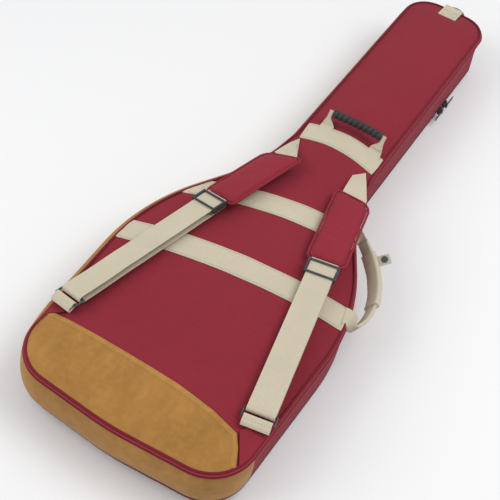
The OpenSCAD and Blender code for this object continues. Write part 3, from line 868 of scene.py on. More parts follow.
def even_path(points, step, closed=False):
    """The same path with points every step along it."""
    points = np.asarray(points, float)
    if closed:
        points = np.vstack([points, points[:1]])
    runs = lengths_along(points)
    count = max(2, int(round(runs[-1] / step)) + 1)
    at = np.linspace(0, runs[-1], count)
    path = np.column_stack([np.interp(at, runs, points[:, c]) for c in range(points.shape[1])])
    return path[:-1] if closed else path


def bowed(path, bow):
    """The path with its middle moved sideways by bow."""
    run = path[-1] - path[0]
    side = np.array([-run[1], run[0]]) / np.linalg.norm(run)
    share = np.linspace(0, 1, len(path))
    return path + side * (bow * 4 * share * (1 - share))[:, None]


def ribbon_grid(path, width, across=12):
    """Flat grid of points along an x, y path, width wide."""
    path = np.asarray(path, float)
    tangent = np.gradient(path, axis=0)
    tangent = unit_rows(tangent)
    side = np.column_stack([-tangent[:, 1], tangent[:, 0]])
    width = np.broadcast_to(width, len(path))
    offsets = np.linspace(-0.5, 0.5, across + 1)
    return path[:, None] + side[:, None] * (offsets[None, :] * width[:, None])[..., None]


def clipped(grid, edge):
    return nearest_inside(grid.reshape(-1, 2), edge).reshape(grid.shape)


def sewn_band(name, path, width, node, bow=0.0):
    """A webbing band sewn flat on the back along both edges, its ends under the piping."""
    path = bowed(even_path(path, 4), bow)
    grid = ground.drape(clipped(ribbon_grid(path, width)[:, ::-1], TRIM_EDGE), BAND_LIFT)
    grid[..., 2] += 0.25 * ripple(grid[..., 0], grid[..., 1], 21)
    slab_piece(name, grid[:, ::-1], WEB_T, "webbing", "back_half", [node], edge=0.7)
    runs = []
    for v in (-width / 2 + 2.6, width / 2 - 2.6):
        line = ribbon_grid(path, 2 * abs(v), 1)[:, 0 if v < 0 else 1]
        runs.append(surface_run(line, BAND_LIFT + WEB_T + 0.1, edge=5))
    stitch_row(name + "_stitches", runs, "cotton_thread", "back_half", length=2.4, gap=1.2)
    return path


def surface_run(line, lift, edge=3.0):
    """A stitch line over the back, kept edge millimetres inside the seam."""
    line = even_path(line, 3)
    limit = seam_outline(edge)
    kept = np.array([p for p in line if np.hypot(*(nearest_inside([p], limit)[0] - p)) < 0.01])
    if len(kept) < 2:
        kept = nearest_inside(line[:2], limit) + [[0, 0], [0.1, 0]]
    z = np.array([ground.height(x, y) for x, y in kept])
    points = np.column_stack([kept, z + lift])
    return points, np.tile([0, 0, 1.0], (len(points), 1))


def sewn_patch(name, corners, centre, finish, nodes, lift, thick):
    """A flat shape of cloth or hide on the back, cut off under the piping."""
    edge = nearest_inside(even_path(corners, 3, True), TRIM_EDGE)
    shares = [1, 0.985, 0.96, 0.92, 0.85, 0.77, 0.68, 0.58, 0.48, 0.38, 0.28, 0.18, 0.08, 0]
    heights = {}

    def ground_at(x, y):
        keys = [(round(a, 3), round(b, 3)) for a, b in zip(x, y)]
        for key in keys:
            if key not in heights:
                heights[key] = ground.height(*key)
        return np.array([heights[key] for key in keys])

    def upper(k, x, y, _):
        edge_drop = 0.75 if k == 1 else 0.2 if k > 0.98 else 0.0
        return ground_at(x, y) + lift + thick * (1 - edge_drop) + 0.25 * ripple(x, y, 33)

    def lower(k, x, y, _):
        return ground_at(x, y) + lift - 0.4

    return ring_sheet_piece(name, edge, shares, centre, upper, lower, finish, "back_half",
                            nodes)


PATCH_TOP = [(166, 42), (154, 66), (141, 83), (100, 90.5), (40, 95.5), (-30, 97), (-110, 98.5),
             (-174, 100)]


def build_suede_patch():
    corners = [(-190, 100), (-190, -10), (154, -10)] + PATCH_TOP
    sewn_patch("suede_base", corners, lambda p: np.array([np.clip(p[0] * 0.92, -128, 118), 52.0]),
               "suede", ["suede_patch"], 0.3, 1.4)
    top = even_path(PATCH_TOP, 3)
    tangent = np.gradient(top, axis=0)
    tangent = unit_rows(tangent)
    inner = np.column_stack([-tangent[:, 1], tangent[:, 0]])
    hem = clipped(top[:, None] + inner[:, None] * np.linspace(0.3, 8.5, 7)[None, :, None], TRIM_EDGE)
    grid = ground.drape(hem, 1.6)
    grid[:, :, 2] += 0.25 * ripple(grid[..., 0], grid[..., 1], 33)
    slab_piece("suede_hem", grid, 0.9, "suede_hem", "back_half", edge=0.5)
    runs = [surface_run(top + inner * d, 2.7) for d in (1.8, 7.0)]
    stitch_row("suede_stitches", runs, "tan_thread", "back_half", length=2.8, gap=1.4)


def build_bands():
    sewn_band("lower_webbing_band", [(-200, 277), (200, 331)], WEB_W, "lower_band")
    sewn_band("upper_webbing_band", [(-160, 408), (130, 469)], WEB_W, "upper_band")
    sewn_band("neck_webbing_band", [(-64, 619), (70.5, 620)], WEB_W, "neck_band", bow=3.0)


# ------------------------------------------------------------------ straps
class StrapFrame:
    """u runs down the strap from its pad's lower end, v across to the handle side, w outwards."""

    def __init__(self, side, top, foot, roll, pad_pitch, slant):
        self.side = side
        self.top = np.array(top, float)
        run = np.array(foot, float) - self.top
        self.length = float(np.linalg.norm(run))
        self.yaw = math.atan2(run[1], run[0])
        self.roll = math.radians(roll)
        self.strap = self.axes(math.asin(-run[2] / self.length))
        self.pad = self.axes(math.radians(pad_pitch))
        self.outer = -1 if side == "left" else 1
        self.slant = slant

    def axes(self, pitch):
        return turn_z(self.yaw) @ turn_y(pitch) @ turn_x(self.roll)

    def on_strap(self, local):
        return self.top + np.asarray(local, float) @ self.strap.T

    def on_pad(self, local):
        return self.top + np.asarray(local, float) @ self.pad.T


STRAPS = [StrapFrame("left", (-87, 392, 117), (-157, 126, 106), 16, 0, 24),
          StrapFrame("right", (103, 379, 117), (154, 116, 104), 0, -2.5, 12)]
PAD_L, PAD_HW = 150.0, 29.0
LOOP_GAP = 3.4
RING_BAR = 6.5


def pad_outline(strap, grow):
    """A pad's outline in u, v. Its upper end slants down to a wide round on the outer side."""
    low, high, half = grow, -PAD_L - grow, PAD_HW + grow
    corners = [(low, -half * strap.outer, 9), (high, -half * strap.outer, 6),
               (high + strap.slant, half * strap.outer, 20), (low, half * strap.outer, 9)]
    return rounded_outline(corners[::strap.outer], 0, 4)


def pad_arch(u, v):
    """Soft bow of the pad along its length and its slight cupping across."""
    share = (u + PAD_L / 2) / (PAD_L / 2)
    return 1.2 * (1 - share ** 2) - 0.8 * (v / PAD_HW) ** 2


def pad_swell(k, u, v, seed):
    """Half thickness of the pad at fraction k out to its seam, before it is blown up."""
    rim = (1 - k ** 5) ** 0.6
    return (PAD_T / 2 - 1.6) * rim + 0.4 * ripple(u * 1.6, v * 1.6, seed) * rim


# Width of the strip along a cushion's seam that the simulation holds still.
SEAM_HELD = 3.5


def blow_up(piece, outline, pressure, cap):
    """Swells a cushion that lies flat as cloth under pressure, held along its seam. No point
    moves further than cap, and one subdivision rounds the result."""
    remesh = piece.modifiers.new("remesh", "REMESH")
    remesh.mode = "VOXEL"
    remesh.voxel_size = 0.004
    remesh.use_smooth_shade = True
    piece.data = baked(piece)
    piece.modifiers.clear()
    rest = vertex_places(piece.data)
    flat = rest[:, :2] * 1000 + (0, REST_Y)
    reach = np.min(np.hypot(flat[:, None, 0] - outline[None, :, 0],
                            flat[:, None, 1] - outline[None, :, 1]), axis=1)
    seam = piece.vertex_groups.new(name="seam")
    for index in np.flatnonzero(reach < SEAM_HELD):
        seam.add([int(index)], 1.0, "REPLACE")
    cloth = piece.modifiers.new("cloth", "CLOTH")
    cloth.settings.use_pressure = True
    cloth.settings.uniform_pressure_force = pressure
    cloth.settings.effector_weights.gravity = 0
    cloth.settings.vertex_group_mass = "seam"
    for frame_number in range(1, 21):
        SCENE.frame_set(frame_number)
    swollen = baked(piece)
    move = vertex_places(swollen) - rest
    far = np.linalg.norm(move, axis=1, keepdims=True)
    move *= np.minimum(1.0, cap / 1000 / np.maximum(far, 1e-9))
    swollen.vertices.foreach_set("co", (rest + move).ravel())
    piece.modifiers.clear()
    piece.data = swollen
    SCENE.frame_set(1)
    piece.modifiers.new("round", "SUBSURF").levels = 1
    piece.data = baked(piece)
    piece.modifiers.clear()
    piece.vertex_groups.clear()
    piece.data.polygons.foreach_set("use_smooth", [True] * len(piece.data.polygons))
    layer = piece.data.uv_layers.new(name="weave")
    corners = np.empty(len(piece.data.loops), int)
    piece.data.loops.foreach_get("vertex_index", corners)
    layer.data.foreach_set("uv", vertex_places(piece.data)[corners, :2].ravel())


def baked(piece):
    """The piece's mesh with its modifiers worked in."""
    graph = bpy.context.evaluated_depsgraph_get()
    return bpy.data.meshes.new_from_object(piece.evaluated_get(graph), depsgraph=graph)


def vertex_places(mesh):
    places = np.empty(len(mesh.vertices) * 3)
    mesh.vertices.foreach_get("co", places)
    return places.reshape(-1, 3)


def build_pad(strap):
    """Cushion, binding rope and a stitch line on both faces."""
    outline = pad_outline(strap, -1.0)
    shares = [1, 0.99, 0.97, 0.94, 0.9, 0.85, 0.79, 0.72, 0.64, 0.55, 0.45, 0.34, 0.22, 0.1, 0]
    seed = 5 if strap.side == "left" else 6
    pad = ring_sheet_piece(
        "pad_cushion_" + strap.side, outline, shares,
        lambda p: np.array([np.clip(p[0], -PAD_L + 30, -26), 0.0]),
        lambda k, u, v, _: pad_arch(u, v) + pad_swell(k, u, v, seed),
        lambda k, u, v, _: pad_arch(u, v) - 0.85 * pad_swell(k, u, v, seed + 10),
        "wine_pad", "back_half", ["shoulder_pad_" + strap.side])
    blow_up(pad, outline, pressure=4.0, cap=5.0)
    skin = surface_of(pad)
    place_on(pad, strap.on_pad)
    edge = pad_outline(strap, 0.0)
    rope = np.column_stack([edge, pad_arch(edge[:, 0], edge[:, 1])])
    sweep_piece("pad_binding_" + strap.side, strap.on_pad(rope), circle_section(1.9, 10, 1.1),
                "wine_pad", "back_half", True, up=strap.pad[:, 2])
    inner = even_path(pad_outline(strap, -5.5), 2, True)
    inner = np.vstack([inner, inner[:1]])
    runs = []
    for sign in (1, -1):
        line = np.column_stack([inner, [skin_height(skin, p, sign) for p in inner]])
        runs.append((strap.on_pad(line), np.tile(strap.pad[:, 2] * sign, (len(line), 1))))
    stitch_row("pad_stitches_" + strap.side, runs, "wine_thread", "back_half", length=2.6, gap=1.3)


def skin_height(skin, place, side):
    """w of the pad's upper (side 1) or lower (side -1) skin at u, v, a little outside it."""
    start = Vector(row((place[0], place[1], 60.0 * side)))
    return skin.ray_cast(start, Vector((0, 0, -side)))[0].z * 1000 + 0.15 * side


def place_on(piece, place):
    """Moves a piece made in a local frame (its points went through row) to where place puts it."""
    local = vertex_places(piece.data) * 1000 + (0, REST_Y, 0)
    piece.data.vertices.foreach_set("co", row(place(local)).ravel())
    piece.data.update()


def ribbon_along(name, path, across, width, thick, finish, body, nodes=(), columns=10, cup=0.0,
                 edge=0.7):
    """Webbing along a path in space. across gives its width direction at each point."""
    path, across = np.asarray(path, float), np.asarray(across, float)
    if across.ndim == 1:
        across = np.tile(across, (len(path), 1))
    width = np.broadcast_to(width, len(path))
    offsets = np.linspace(-0.5, 0.5, columns + 1)
    tangent = np.gradient(path, axis=0)
    tangent = unit_rows(tangent)
    normal = np.cross(tangent, across)
    normal = unit_rows(normal)
    grid = (path[:, None] + across[:, None] * (offsets[None] * width[:, None])[..., None]
            + normal[:, None] * (cup * (4 * offsets ** 2 - 1))[None, :, None]
            - normal[:, None] * thick / 2)
    return slab_piece(name, grid, thick, finish, body, nodes, edge=edge), normal


def build_lower_strap(strap):
    """One piece of webbing: down over the tri-glide, round the ring's bar, and back beneath."""
    out = LOOP_GAP + WEB_T / 2 + 0.1
    turn_u = strap.length - RING_BAR
    line = [(u, 0, out + 0.35 * smooth_step(u, 150, 170) * math.sin(u / 13)) for u in
            np.arange(1.4, turn_u, 4)]
    line += [(turn_u + out * math.sin(a), 0, out * math.cos(a)) for a in
             np.radians(np.arange(0, 181, 12))]
    line += [(u, 0, -out - 0.3 * smooth_step(u, 150, 170) * math.sin(u / 17)) for u in
             np.arange(turn_u - 4, 1.0, -4)]
    path = strap.on_strap(line)
    across = strap.strap[:, 1]
    ribbon_along("strap_webbing_" + strap.side, path, -across, WEB_W, WEB_T, "webbing",
                 "back_half", ["lower_strap_" + strap.side])
    ends = []
    for u in (4.0, 7.0):
        v = np.linspace(-WEB_W / 2 + 2, WEB_W / 2 - 2, 12)
        ends.append((strap.on_strap(np.column_stack([np.full(12, u - 2), v, np.full(12, -out - 1.1)])),
                     np.tile(-strap.strap[:, 2], (12, 1))))
    stitch_row("strap_end_stitches_" + strap.side, ends, "cotton_thread", "back_half")


def build_ring_loop(strap):
    """The webbing loop round the ring's lower bar, its tail sewn down through the anchor tab."""
    tilt = math.radians(15)
    axes = strap.strap @ turn_y(tilt)
    start = strap.on_strap((strap.length + RING_BAR, 0, 0))
    r = 2.8
    line = [(12.5, 0, -0.6)] + [(u, 0, r * 0.75) for u in np.arange(9, 3, -2.5)]
    line += [(-r * math.sin(a), 0, r * math.cos(a)) for a in np.radians(np.arange(-20, 181, 15))]
    line += [(u, 0, -r) for u in np.arange(2.5, 13.5, 2.5)]
    path = start + np.array(line) @ axes.T
    ribbon_along("ring_webbing_" + strap.side, path, axes[:, 1], WEB_W, WEB_T, "webbing", "back_half",
                 ["ring_loop_" + strap.side])
    runs = []
    for u in (4.5, 10.5):
        v = np.linspace(-WEB_W / 2 + 2, WEB_W / 2 - 2, 14)
        w = np.full(14, 3.1 if u < 6 else 1.7)
        runs.append((start + np.column_stack([np.full(14, u), v, w]) @ axes.T,
                     np.tile(axes[:, 2], (14, 1))))
    stitch_row("ring_stitches_" + strap.side, runs, "cotton_thread", "back_half")


TOP_SEAMS = {"left": ((-60, 596), (-49, 571)), "right": ((47.5, 574), (61, 595))}


def build_top_strap(strap):
    """Webbing that narrows from the pad's upper end to a slanting seam beside the neck."""
    ends = [np.array([x, y, ground.height(x, y) + 1.6]) for x, y in TOP_SEAMS[strap.side]]
    grid = []
    for t in np.linspace(-0.45, 1, 30):
        line = []
        for s in np.linspace(0, 1, 11):
            near = strap.on_pad((-PAD_L + 4, (s - 0.5) * WEB_W, 0))
            run = strap.on_pad((-PAD_L, (s - 0.5) * WEB_W, 0)) - near
            far = ends[0] + (ends[1] - ends[0]) * s
            soft = smooth_step(t, 0, 0.4)
            place = near + (far - near) * max(t, 0.0) + run * 5 * min(t, 0.0) * (1 - soft)
            place = place + strap.pad[:, 2] * (1.8 * math.sin(math.pi * max(t, 0.0)))
            line.append(place)
        grid.append(line)
    grid = np.array(grid)
    slab_piece("top_webbing_" + strap.side, grid, WEB_T, "webbing", "back_half",
               ["top_strap_" + strap.side], edge=0.7)
    up = np.tile(unit(grid_normals(grid)[20, 5]), (18, 1))
    runs = []
    for k in (0.07, 0.93):
        line = np.array([grid[i, 0] + (grid[i, -1] - grid[i, 0]) * k for i in range(11, 29)])
        runs.append((line + up * (WEB_T + 0.15), up))
    for i in (26, 28):
        line = np.array([grid[i, 0] + (grid[i, -1] - grid[i, 0]) * k
                         for k in np.linspace(0.1, 0.9, 18)])
        runs.append((line + up * (WEB_T + 0.15), up))
    stitch_row("top_stitches_" + strap.side, runs, "cotton_thread", "back_half")


ANCHOR_TABS = {
    "left": ([(-152, 106), (-148, 122), (-190, 150), (-190, 62), (-172, 92)], (-168, 108)),
    "right": ([(142, 88), (168, 46), (190, 40), (190, 122), (160, 114)], (166, 84)),
}


def build_anchor_tab(strap):
    corners, middle = ANCHOR_TABS[strap.side]
    if strap.side == "left":
        corners = corners[::-1]
    sewn_patch("anchor_cloth_" + strap.side, corners, lambda p: np.array(middle, float), "wine",
               ["anchor_tab_" + strap.side], 2.6, 1.3)


def build_straps():
    for strap in STRAPS:
        build_pad(strap)
        build_lower_strap(strap)
        build_ring_loop(strap)
        build_top_strap(strap)
        build_anchor_tab(strap)


# ------------------------------------------------------------------ top handle
HANDLE_PIVOT = np.array([8.0, 644.0, SEAM_Z + 12.5])
HANDLE_REACH = 22.0
HANDLE_AXES = turn_x(math.radians(50))
GRIP_L, GRIP_R = 88.0, 7.0
FOOT_X, FOOT_W = 44.0, 20.0


def on_handle(local):
    return HANDLE_PIVOT + np.asarray(local, float) @ HANDLE_AXES.T


def build_grip():
    """A bowed tube of rubber with ten rounded ribs."""
    length = np.linspace(-GRIP_L / 2, GRIP_L / 2, 281)
    pitch = GRIP_L / 10
    rings, path = [], []
    for x in length:
        rib = abs(math.sin(math.pi * (x + GRIP_L / 2) / pitch)) ** 0.55
        end = smooth_step(GRIP_L / 2 - abs(x), 0, 1.2)
        rings.append(circle_section((GRIP_R - 2.1 + 2.1 * rib) * (0.85 + 0.15 * end), 28))
        path.append(on_handle((x, HANDLE_REACH + 0.4 - 1.6 * (x / 44) ** 2, 0)))
    sweep_piece("grip_sleeve", path, np.array(rings), "rubber", "top_handle",
                stands_for=["top_handle_grip"], up=HANDLE_AXES[:, 2], crease=70)


def build_handle_webbing():
    """Tapered tabs from the neck band up to the grip, the webbing folded double beside it."""
    top_w, top_y = 6.5, HANDLE_REACH + 2.5
    for side, s in (("left", -1), ("right", 1)):
        y = np.linspace(0.5, top_y, 14)
        share = smooth_step(y / (HANDLE_REACH - GRIP_R - 1), 0, 1)
        inner = FOOT_X - FOOT_W / 2 + share * (GRIP_L / 2 + 0.8 - FOOT_X + FOOT_W / 2)
        outer = FOOT_X + FOOT_W / 2 + share * (GRIP_L / 2 + 0.8 + top_w - FOOT_X - FOOT_W / 2)
        path = on_handle(np.column_stack([s * (inner + outer) / 2, y, np.zeros(14)]))
        pieces = ["top_handle_webbing"] if s > 0 else []
        _, normal = ribbon_along("handle_tab_" + side, path, HANDLE_AXES[:, 0], outer - inner, 3.0,
                                 "webbing", "top_handle", pieces, columns=8, edge=0.5)
        for offset, tag in ((-0.36, "inner"), (0.36, "outer")):
            line = path + HANDLE_AXES[:, 0] * (offset * (outer - inner))[:, None]
            stitch_row("handle_stitches_%s_%s" % (side, tag),
                       [(line + normal * 1.6, normal), (line - normal * 1.6, -normal)],
                       "cotton_thread", "top_handle")
        build_handle_root(side, HANDLE_PIVOT[0] + s * FOOT_X, s)


def build_handle_root(side, x, s):
    """The soft stretch that comes out from under the neck band and bends up into the tab."""
    def above(y, rise):
        return np.array([x, y, ground.height(x, y) + rise])

    knots = np.array([above(630, 1.1), above(639, 1.2), above(645, 4.5),
                      on_handle((s * FOOT_X, 0.8, 0))])
    t = np.linspace(0, 1, 18)[:, None]
    path = ((1 - t) ** 3 * knots[0] + 3 * (1 - t) ** 2 * t * knots[1]
            + 3 * (1 - t) * t ** 2 * knots[2] + t ** 3 * knots[3])
    tilt = (ground.height(x + 9, 632) - ground.height(x - 9, 632)) / 18
    share = np.linspace(1, 0, 18)[:, None]
    across = np.array([1, 0, 0]) + share * np.array([0, 0, tilt])
    across = unit_rows(across)
    piece, _ = ribbon_along("handle_root_" + side, path, across, np.linspace(24, FOOT_W, 18), 1.7,
                            "webbing", None, columns=8)
    tuple(row(path[8]))
    tuple(row(path[17]))
    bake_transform(piece)


# ------------------------------------------------------------------ side handle
SIDE_MID = np.array([154.5, 397.0])
SIDE_TURN = math.radians(22.8)
SIDE_CHORD, SIDE_SAG, SIDE_LEAN = 160.0, 32.0, 34.0
SIDE_R = ((SIDE_CHORD / 2) ** 2 + SIDE_SAG ** 2) / (2 * SIDE_SAG)
SIDE_HALF = math.degrees(math.asin(SIDE_CHORD / 2 / SIDE_R))


class LoopFrame:
    """The side loop's frame: x away from the bag, y along its chord, z up, leaning about the chord."""

    def __init__(self):
        self.origin = np.array([SIDE_MID[0], SIDE_MID[1], SEAM_Z - 2])
        self.axes = turn_z(SIDE_TURN) @ turn_y(math.radians(SIDE_LEAN))

    def place(self, local):
        return self.origin + np.asarray(local, float) @ self.axes.T

    def arc(self, low, high, step=2.5, grow=0.0, z=0.0):
        angles = np.radians(np.arange(low, high + step / 2, step))
        r = SIDE_R + grow
        return self.place(np.column_stack([SIDE_SAG - SIDE_R + r * np.cos(angles),
                                           r * np.sin(angles), np.full(len(angles), z)]))


def loop_section(thick, width, corner=0.45):
    """Section of the folded webbing: thick across the loop and width upright."""
    section = band_section(width, thick, corner, 4)
    return section[:, ::-1] * [1, -1]


def build_side_loop(loop):
    arc = loop.arc(-SIDE_HALF, SIDE_HALF)
    spin = np.linspace(0, 1, len(arc))
    width = 20 - 1.2 * np.sin(math.pi * spin) ** 2 + 0.4 * np.sin(spin * 23)
    thick = 5.6 + 0.3 * np.sin(spin * 31)
    sections = np.array([loop_section(t, w) for t, w in zip(thick, width)])
    sweep_piece("side_loop_band", arc, sections, "webbing", "side_handle", stands_for=["side_loop"],
                up=loop.axes[:, 2])
    runs = []
    for z in (-6.4, 6.4):
        for grow in (2.95, -2.95):
            line = loop.arc(-SIDE_HALF + 2, SIDE_HALF - 2, grow=grow, z=z)
            centre = loop.arc(-SIDE_HALF + 2, SIDE_HALF - 2, z=z)
            normal = unit_rows(line - centre)
            runs.append((line, normal))
    stitch_row("side_loop_stitches", runs, "cotton_thread", "side_handle")


def build_wrap(loop):
    """The cotton sleeve round the loop, closed on itself by a snap."""
    arc = loop.arc(-12, 34, step=1.5)
    spin = np.linspace(0, 1, len(arc))
    sections = []
    for k in spin:
        bead = 0.9 * math.exp(-(k / 0.035) ** 2) + 0.9 * math.exp(-((1 - k) / 0.035) ** 2)
        crinkle = 0.35 * math.sin(k * 17) + 0.3 * math.sin(k * 61 + 1) + 0.2 * math.sin(k * 97)
        sections.append(loop_section(8.8 + bead + 1.2 * crinkle, 25.0 + bead + crinkle, 0.4))
    sweep_piece("wrap_sleeve", arc, np.array(sections), "webbing", "side_handle",
                stands_for=["side_handle_wrap"], up=loop.axes[:, 2])
    runs = []
    for low in (-10.2, 31.5):
        z = np.linspace(-10, 10, 12)
        angle = math.radians(low)
        r = SIDE_R + 5.1
        local = np.column_stack([np.full(12, SIDE_SAG - SIDE_R + r * math.cos(angle)),
                                 np.full(12, r * math.sin(angle)), z])
        outer = loop.axes @ np.array([math.cos(angle), math.sin(angle), 0])
        runs.append((loop.place(local), np.tile(outer, (12, 1))))
    for z in (-10.3, 10.3):
        line = loop.arc(-10, 32, grow=5.0, z=z)
        centre = loop.arc(-10, 32, z=z)
        normal = unit_rows(line - centre)
        runs.append((line, normal))
    stitch_row("wrap_stitches", runs, "cotton_thread", "side_handle")


def build_flap(loop):
    """The wrap's loose end with the upper half of the snap."""
    fold = loop.axes @ turn_z(math.radians(27))
    axes = fold @ turn_y(math.radians(-50))
    start = loop.place((SIDE_SAG - SIDE_R, 0, 0)) + fold @ np.array([SIDE_R + 7, 0, 11])
    u = np.linspace(-0.6, 17, 16)
    w = 0.4 * np.sin(u / 17 * math.pi)
    path = start + np.column_stack([u, np.zeros(16), w]) @ axes.T
    ribbon_along("flap_cloth", path, axes[:, 1], 16 - 1.0 * smooth_step(u, 13, 17), 2.2, "webbing",
                 "snap_flap", ["snap_flap"], columns=8)
    line = even_path([(2.5, -6), (15, -6), (15, 6), (2.5, 6), (2.5, -6)], 1.5)
    runs = []
    for sign in (1, -1):
        points = start + np.column_stack([line, np.full(len(line), sign * 1.35 + 0.25)]) @ axes.T
        runs.append((points, np.tile(axes[:, 2] * sign, (len(line), 1))))
    stitch_row("flap_stitches", runs, "cotton_thread", "snap_flap")
    back = np.array([[-5.5, 0, -2.6], [-3.5, 0, -1.2]]) @ fold.T
    root = start + np.vstack([back, np.array([[-1.8, 0, -0.3], [-0.4, 0, 0]]) @ axes.T])
    hinge, _ = ribbon_along("flap_root", root, axes[:, 1], 16, 1.6, "webbing", None, columns=8)
    tuple(row(root[0]))
    tuple(row(root[3]))
    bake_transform(hinge)


def loop_root(label, loop, end, anchor):
    """Webbing that narrows from the sewn band on the bag into an end of the loop."""
    sign = math.copysign(1, end)
    tip = loop.arc(end, end + 0.1, step=0.1)[0]
    inside = loop.arc(end - sign * 3, end - sign * 3 + 0.1, step=0.1)[0]
    goal = unit(tip - inside)
    out = np.array([math.cos(SIDE_TURN), math.sin(SIDE_TURN), 0.0])
    start = np.array([anchor[0], anchor[1], ground.height(*anchor) + 2.6])
    t = np.linspace(0, 1, 16)[:, None]
    path = ((1 - t) ** 3 * start + 3 * (1 - t) ** 2 * t * (start + out * 8)
            + 3 * (1 - t) * t ** 2 * (tip + goal * 6) + t ** 3 * tip)
    share = smooth_step(np.linspace(0, 1, 16), 0.05, 0.9)[:, None]
    along_seam = np.array([-math.sin(SIDE_TURN), math.cos(SIDE_TURN), 0.0])
    across = along_seam * (1 - share) + loop.axes[:, 2] * share
    tangent = np.gradient(path, axis=0)
    tangent = unit_rows(tangent)
    across -= tangent * (across * tangent).sum(1, keepdims=True)
    across = unit_rows(across)
    width = WEB_W + (19.5 - WEB_W) * share[:, 0]
    piece, _ = ribbon_along("side_loop_root_" + label, path, across, width, 2.2, "webbing", None,
                            columns=10, cup=0.6)
    tuple(row(path[5]))
    tuple(row(path[-1]))
    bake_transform(piece)


def build_side_handle():
    loop = LoopFrame()
    build_side_loop(loop)
    build_wrap(loop)
    build_flap(loop)
    loop_root("low", loop, -SIDE_HALF, (166, 326.5))
    loop_root("high", loop, SIDE_HALF, (103, 463.5))


# ------------------------------------------------------------------ head tab
TAB_W, TAB_LOW, TAB_FOLD_Y = 34.0, 1026.0, BAG_L + 4


def build_head_tab():
    """The webbing tab over the head end, folded round the ring's bar and sewn in a box."""
    z_low = ground.height(0, TAB_LOW + 6)
    eye_r = 2.1 + WEB_T / 2
    line = [(TAB_LOW, z_low + 1.4), (TAB_LOW + 10, ground.height(0, TAB_LOW + 10) + 1.5),
            (TAB_LOW + 20, ground.height(0, TAB_LOW + 20) + 1.9), (BAG_L - 4, SEAM_Z + 3.9),
            (BAG_L + 1, SEAM_Z + 4.2), (TAB_FOLD_Y + 1.6, SEAM_Z + 3.2),
            (TAB_FOLD_Y + eye_r, SEAM_Z - 0.5), (TAB_FOLD_Y + eye_r, SEAM_Z - 9)]
    line += [(TAB_FOLD_Y + eye_r * math.cos(a), SEAM_Z - 9 - eye_r * math.sin(a)) for a in
             np.radians(np.arange(15, 181, 15))]
    line += [(TAB_FOLD_Y - eye_r + 0.3, SEAM_Z - 4)]
    path = even_path([(0, y, z) for y, z in line], 1.5)
    ribbon_along("head_webbing", path, (1, 0, 0), TAB_W, WEB_T, "webbing", "back_half",
                 ["head_tab"])
    box = [(-13, 1030), (13, 1030), (13, 1049), (-13, 1049), (-13, 1030), (13, 1049), (13, 1030),
           (-13, 1049)]
    points = even_path(box, 1.5)
    z = np.interp(points[:, 1], path[:, 1][:20], path[:, 2][:20]) + WEB_T / 2 + 0.15
    stitch_row("head_stitches", [(np.column_stack([points, z]), np.tile([0, 0, 1.0], (len(z), 1)))],
               "cotton_thread", "back_half")


# ------------------------------------------------------------------ front half
POCKET_CORNERS = [(154, 24, 50), (154, 330, 60), (108, 440, 40)]
NECK_POCKET_CORNERS = [(56, 660, 14), (56, 1000, 22)]


def mirrored_outline(corners, inset):
    left = [(-x, y, r) for x, y, r in reversed(corners)]
    return rounded_outline(corners + left, inset)


def flat_cloth(name, outline, low, high, finish, body, nodes, wavy, seed, centre=spine, rim=0.5):
    """A level sheet of cloth over an outline, a little uneven, with a soft rim."""
    shares = [1, 0.99, 0.975, 0.95, 0.9, 0.8, 0.68, 0.55, 0.4, 0.25, 0.1, 0]

    def rounding(k):
        return rim * (max(0.0, k - 0.95) / 0.05) ** 2

    def upper(k, x, y, _):
        return high - rounding(k) - wavy * (1 - k) * np.abs(ripple(x, y, seed))

    def lower(k, x, y, _):
        return low + rounding(k) + wavy * (1 - k) * np.abs(ripple(x, y, seed + 1))

    return ring_sheet_piece(name, outline, shares, centre, upper, lower, finish, body, nodes)


def build_pocket(name, corners, nodes, centre, bound):
    outline = mirrored_outline(corners, 0.4)
    flat_cloth(name + "_cloth", outline, 0.05, 6.0, "wine", "front_half", nodes, wavy=0.5, seed=12,
               centre=centre, rim=1.6)
    for inset, z in ((7.0, 0.25), (7.0, 5.9)):
        line = even_path(mirrored_outline(corners, inset), 2, True)
        runs = [(np.column_stack([line, np.full(len(line), z)]),
                 np.tile([0, 0, -1.0 if z < 1 else 1.0], (len(line), 1)))]
        if z < 1:
            stitch_row(name + "_stitches", runs, "wine_thread", "front_half", radius=0.2)
    low, high = bound
    y = np.arange(low, high + 1, 4.0)
    x = corners[0][0]
    grid = np.array([[(x + 0.5, v, z) for z in (0.9, 2.2, 3.0, 3.8, 5.1)] for v in y])
    slab_piece(name + "_zip_tape", grid, 0.5, "tape", "front_half",
               ["pocket_zip" if "neck" not in name else "neck_pocket_zip"], edge=1)
    runs = np.column_stack([np.full(len(y), x + 1.05), y])
    out = np.tile([1.0, 0.0], (len(y), 1))
    teeth_row(name + "_zip_teeth_a", runs, out, 2.95, -0.9, 2.0, "front_half", 0.0)
    teeth_row(name + "_zip_teeth_b", runs, out, 3.05, 0.9, 2.0, "front_half", 0.5)


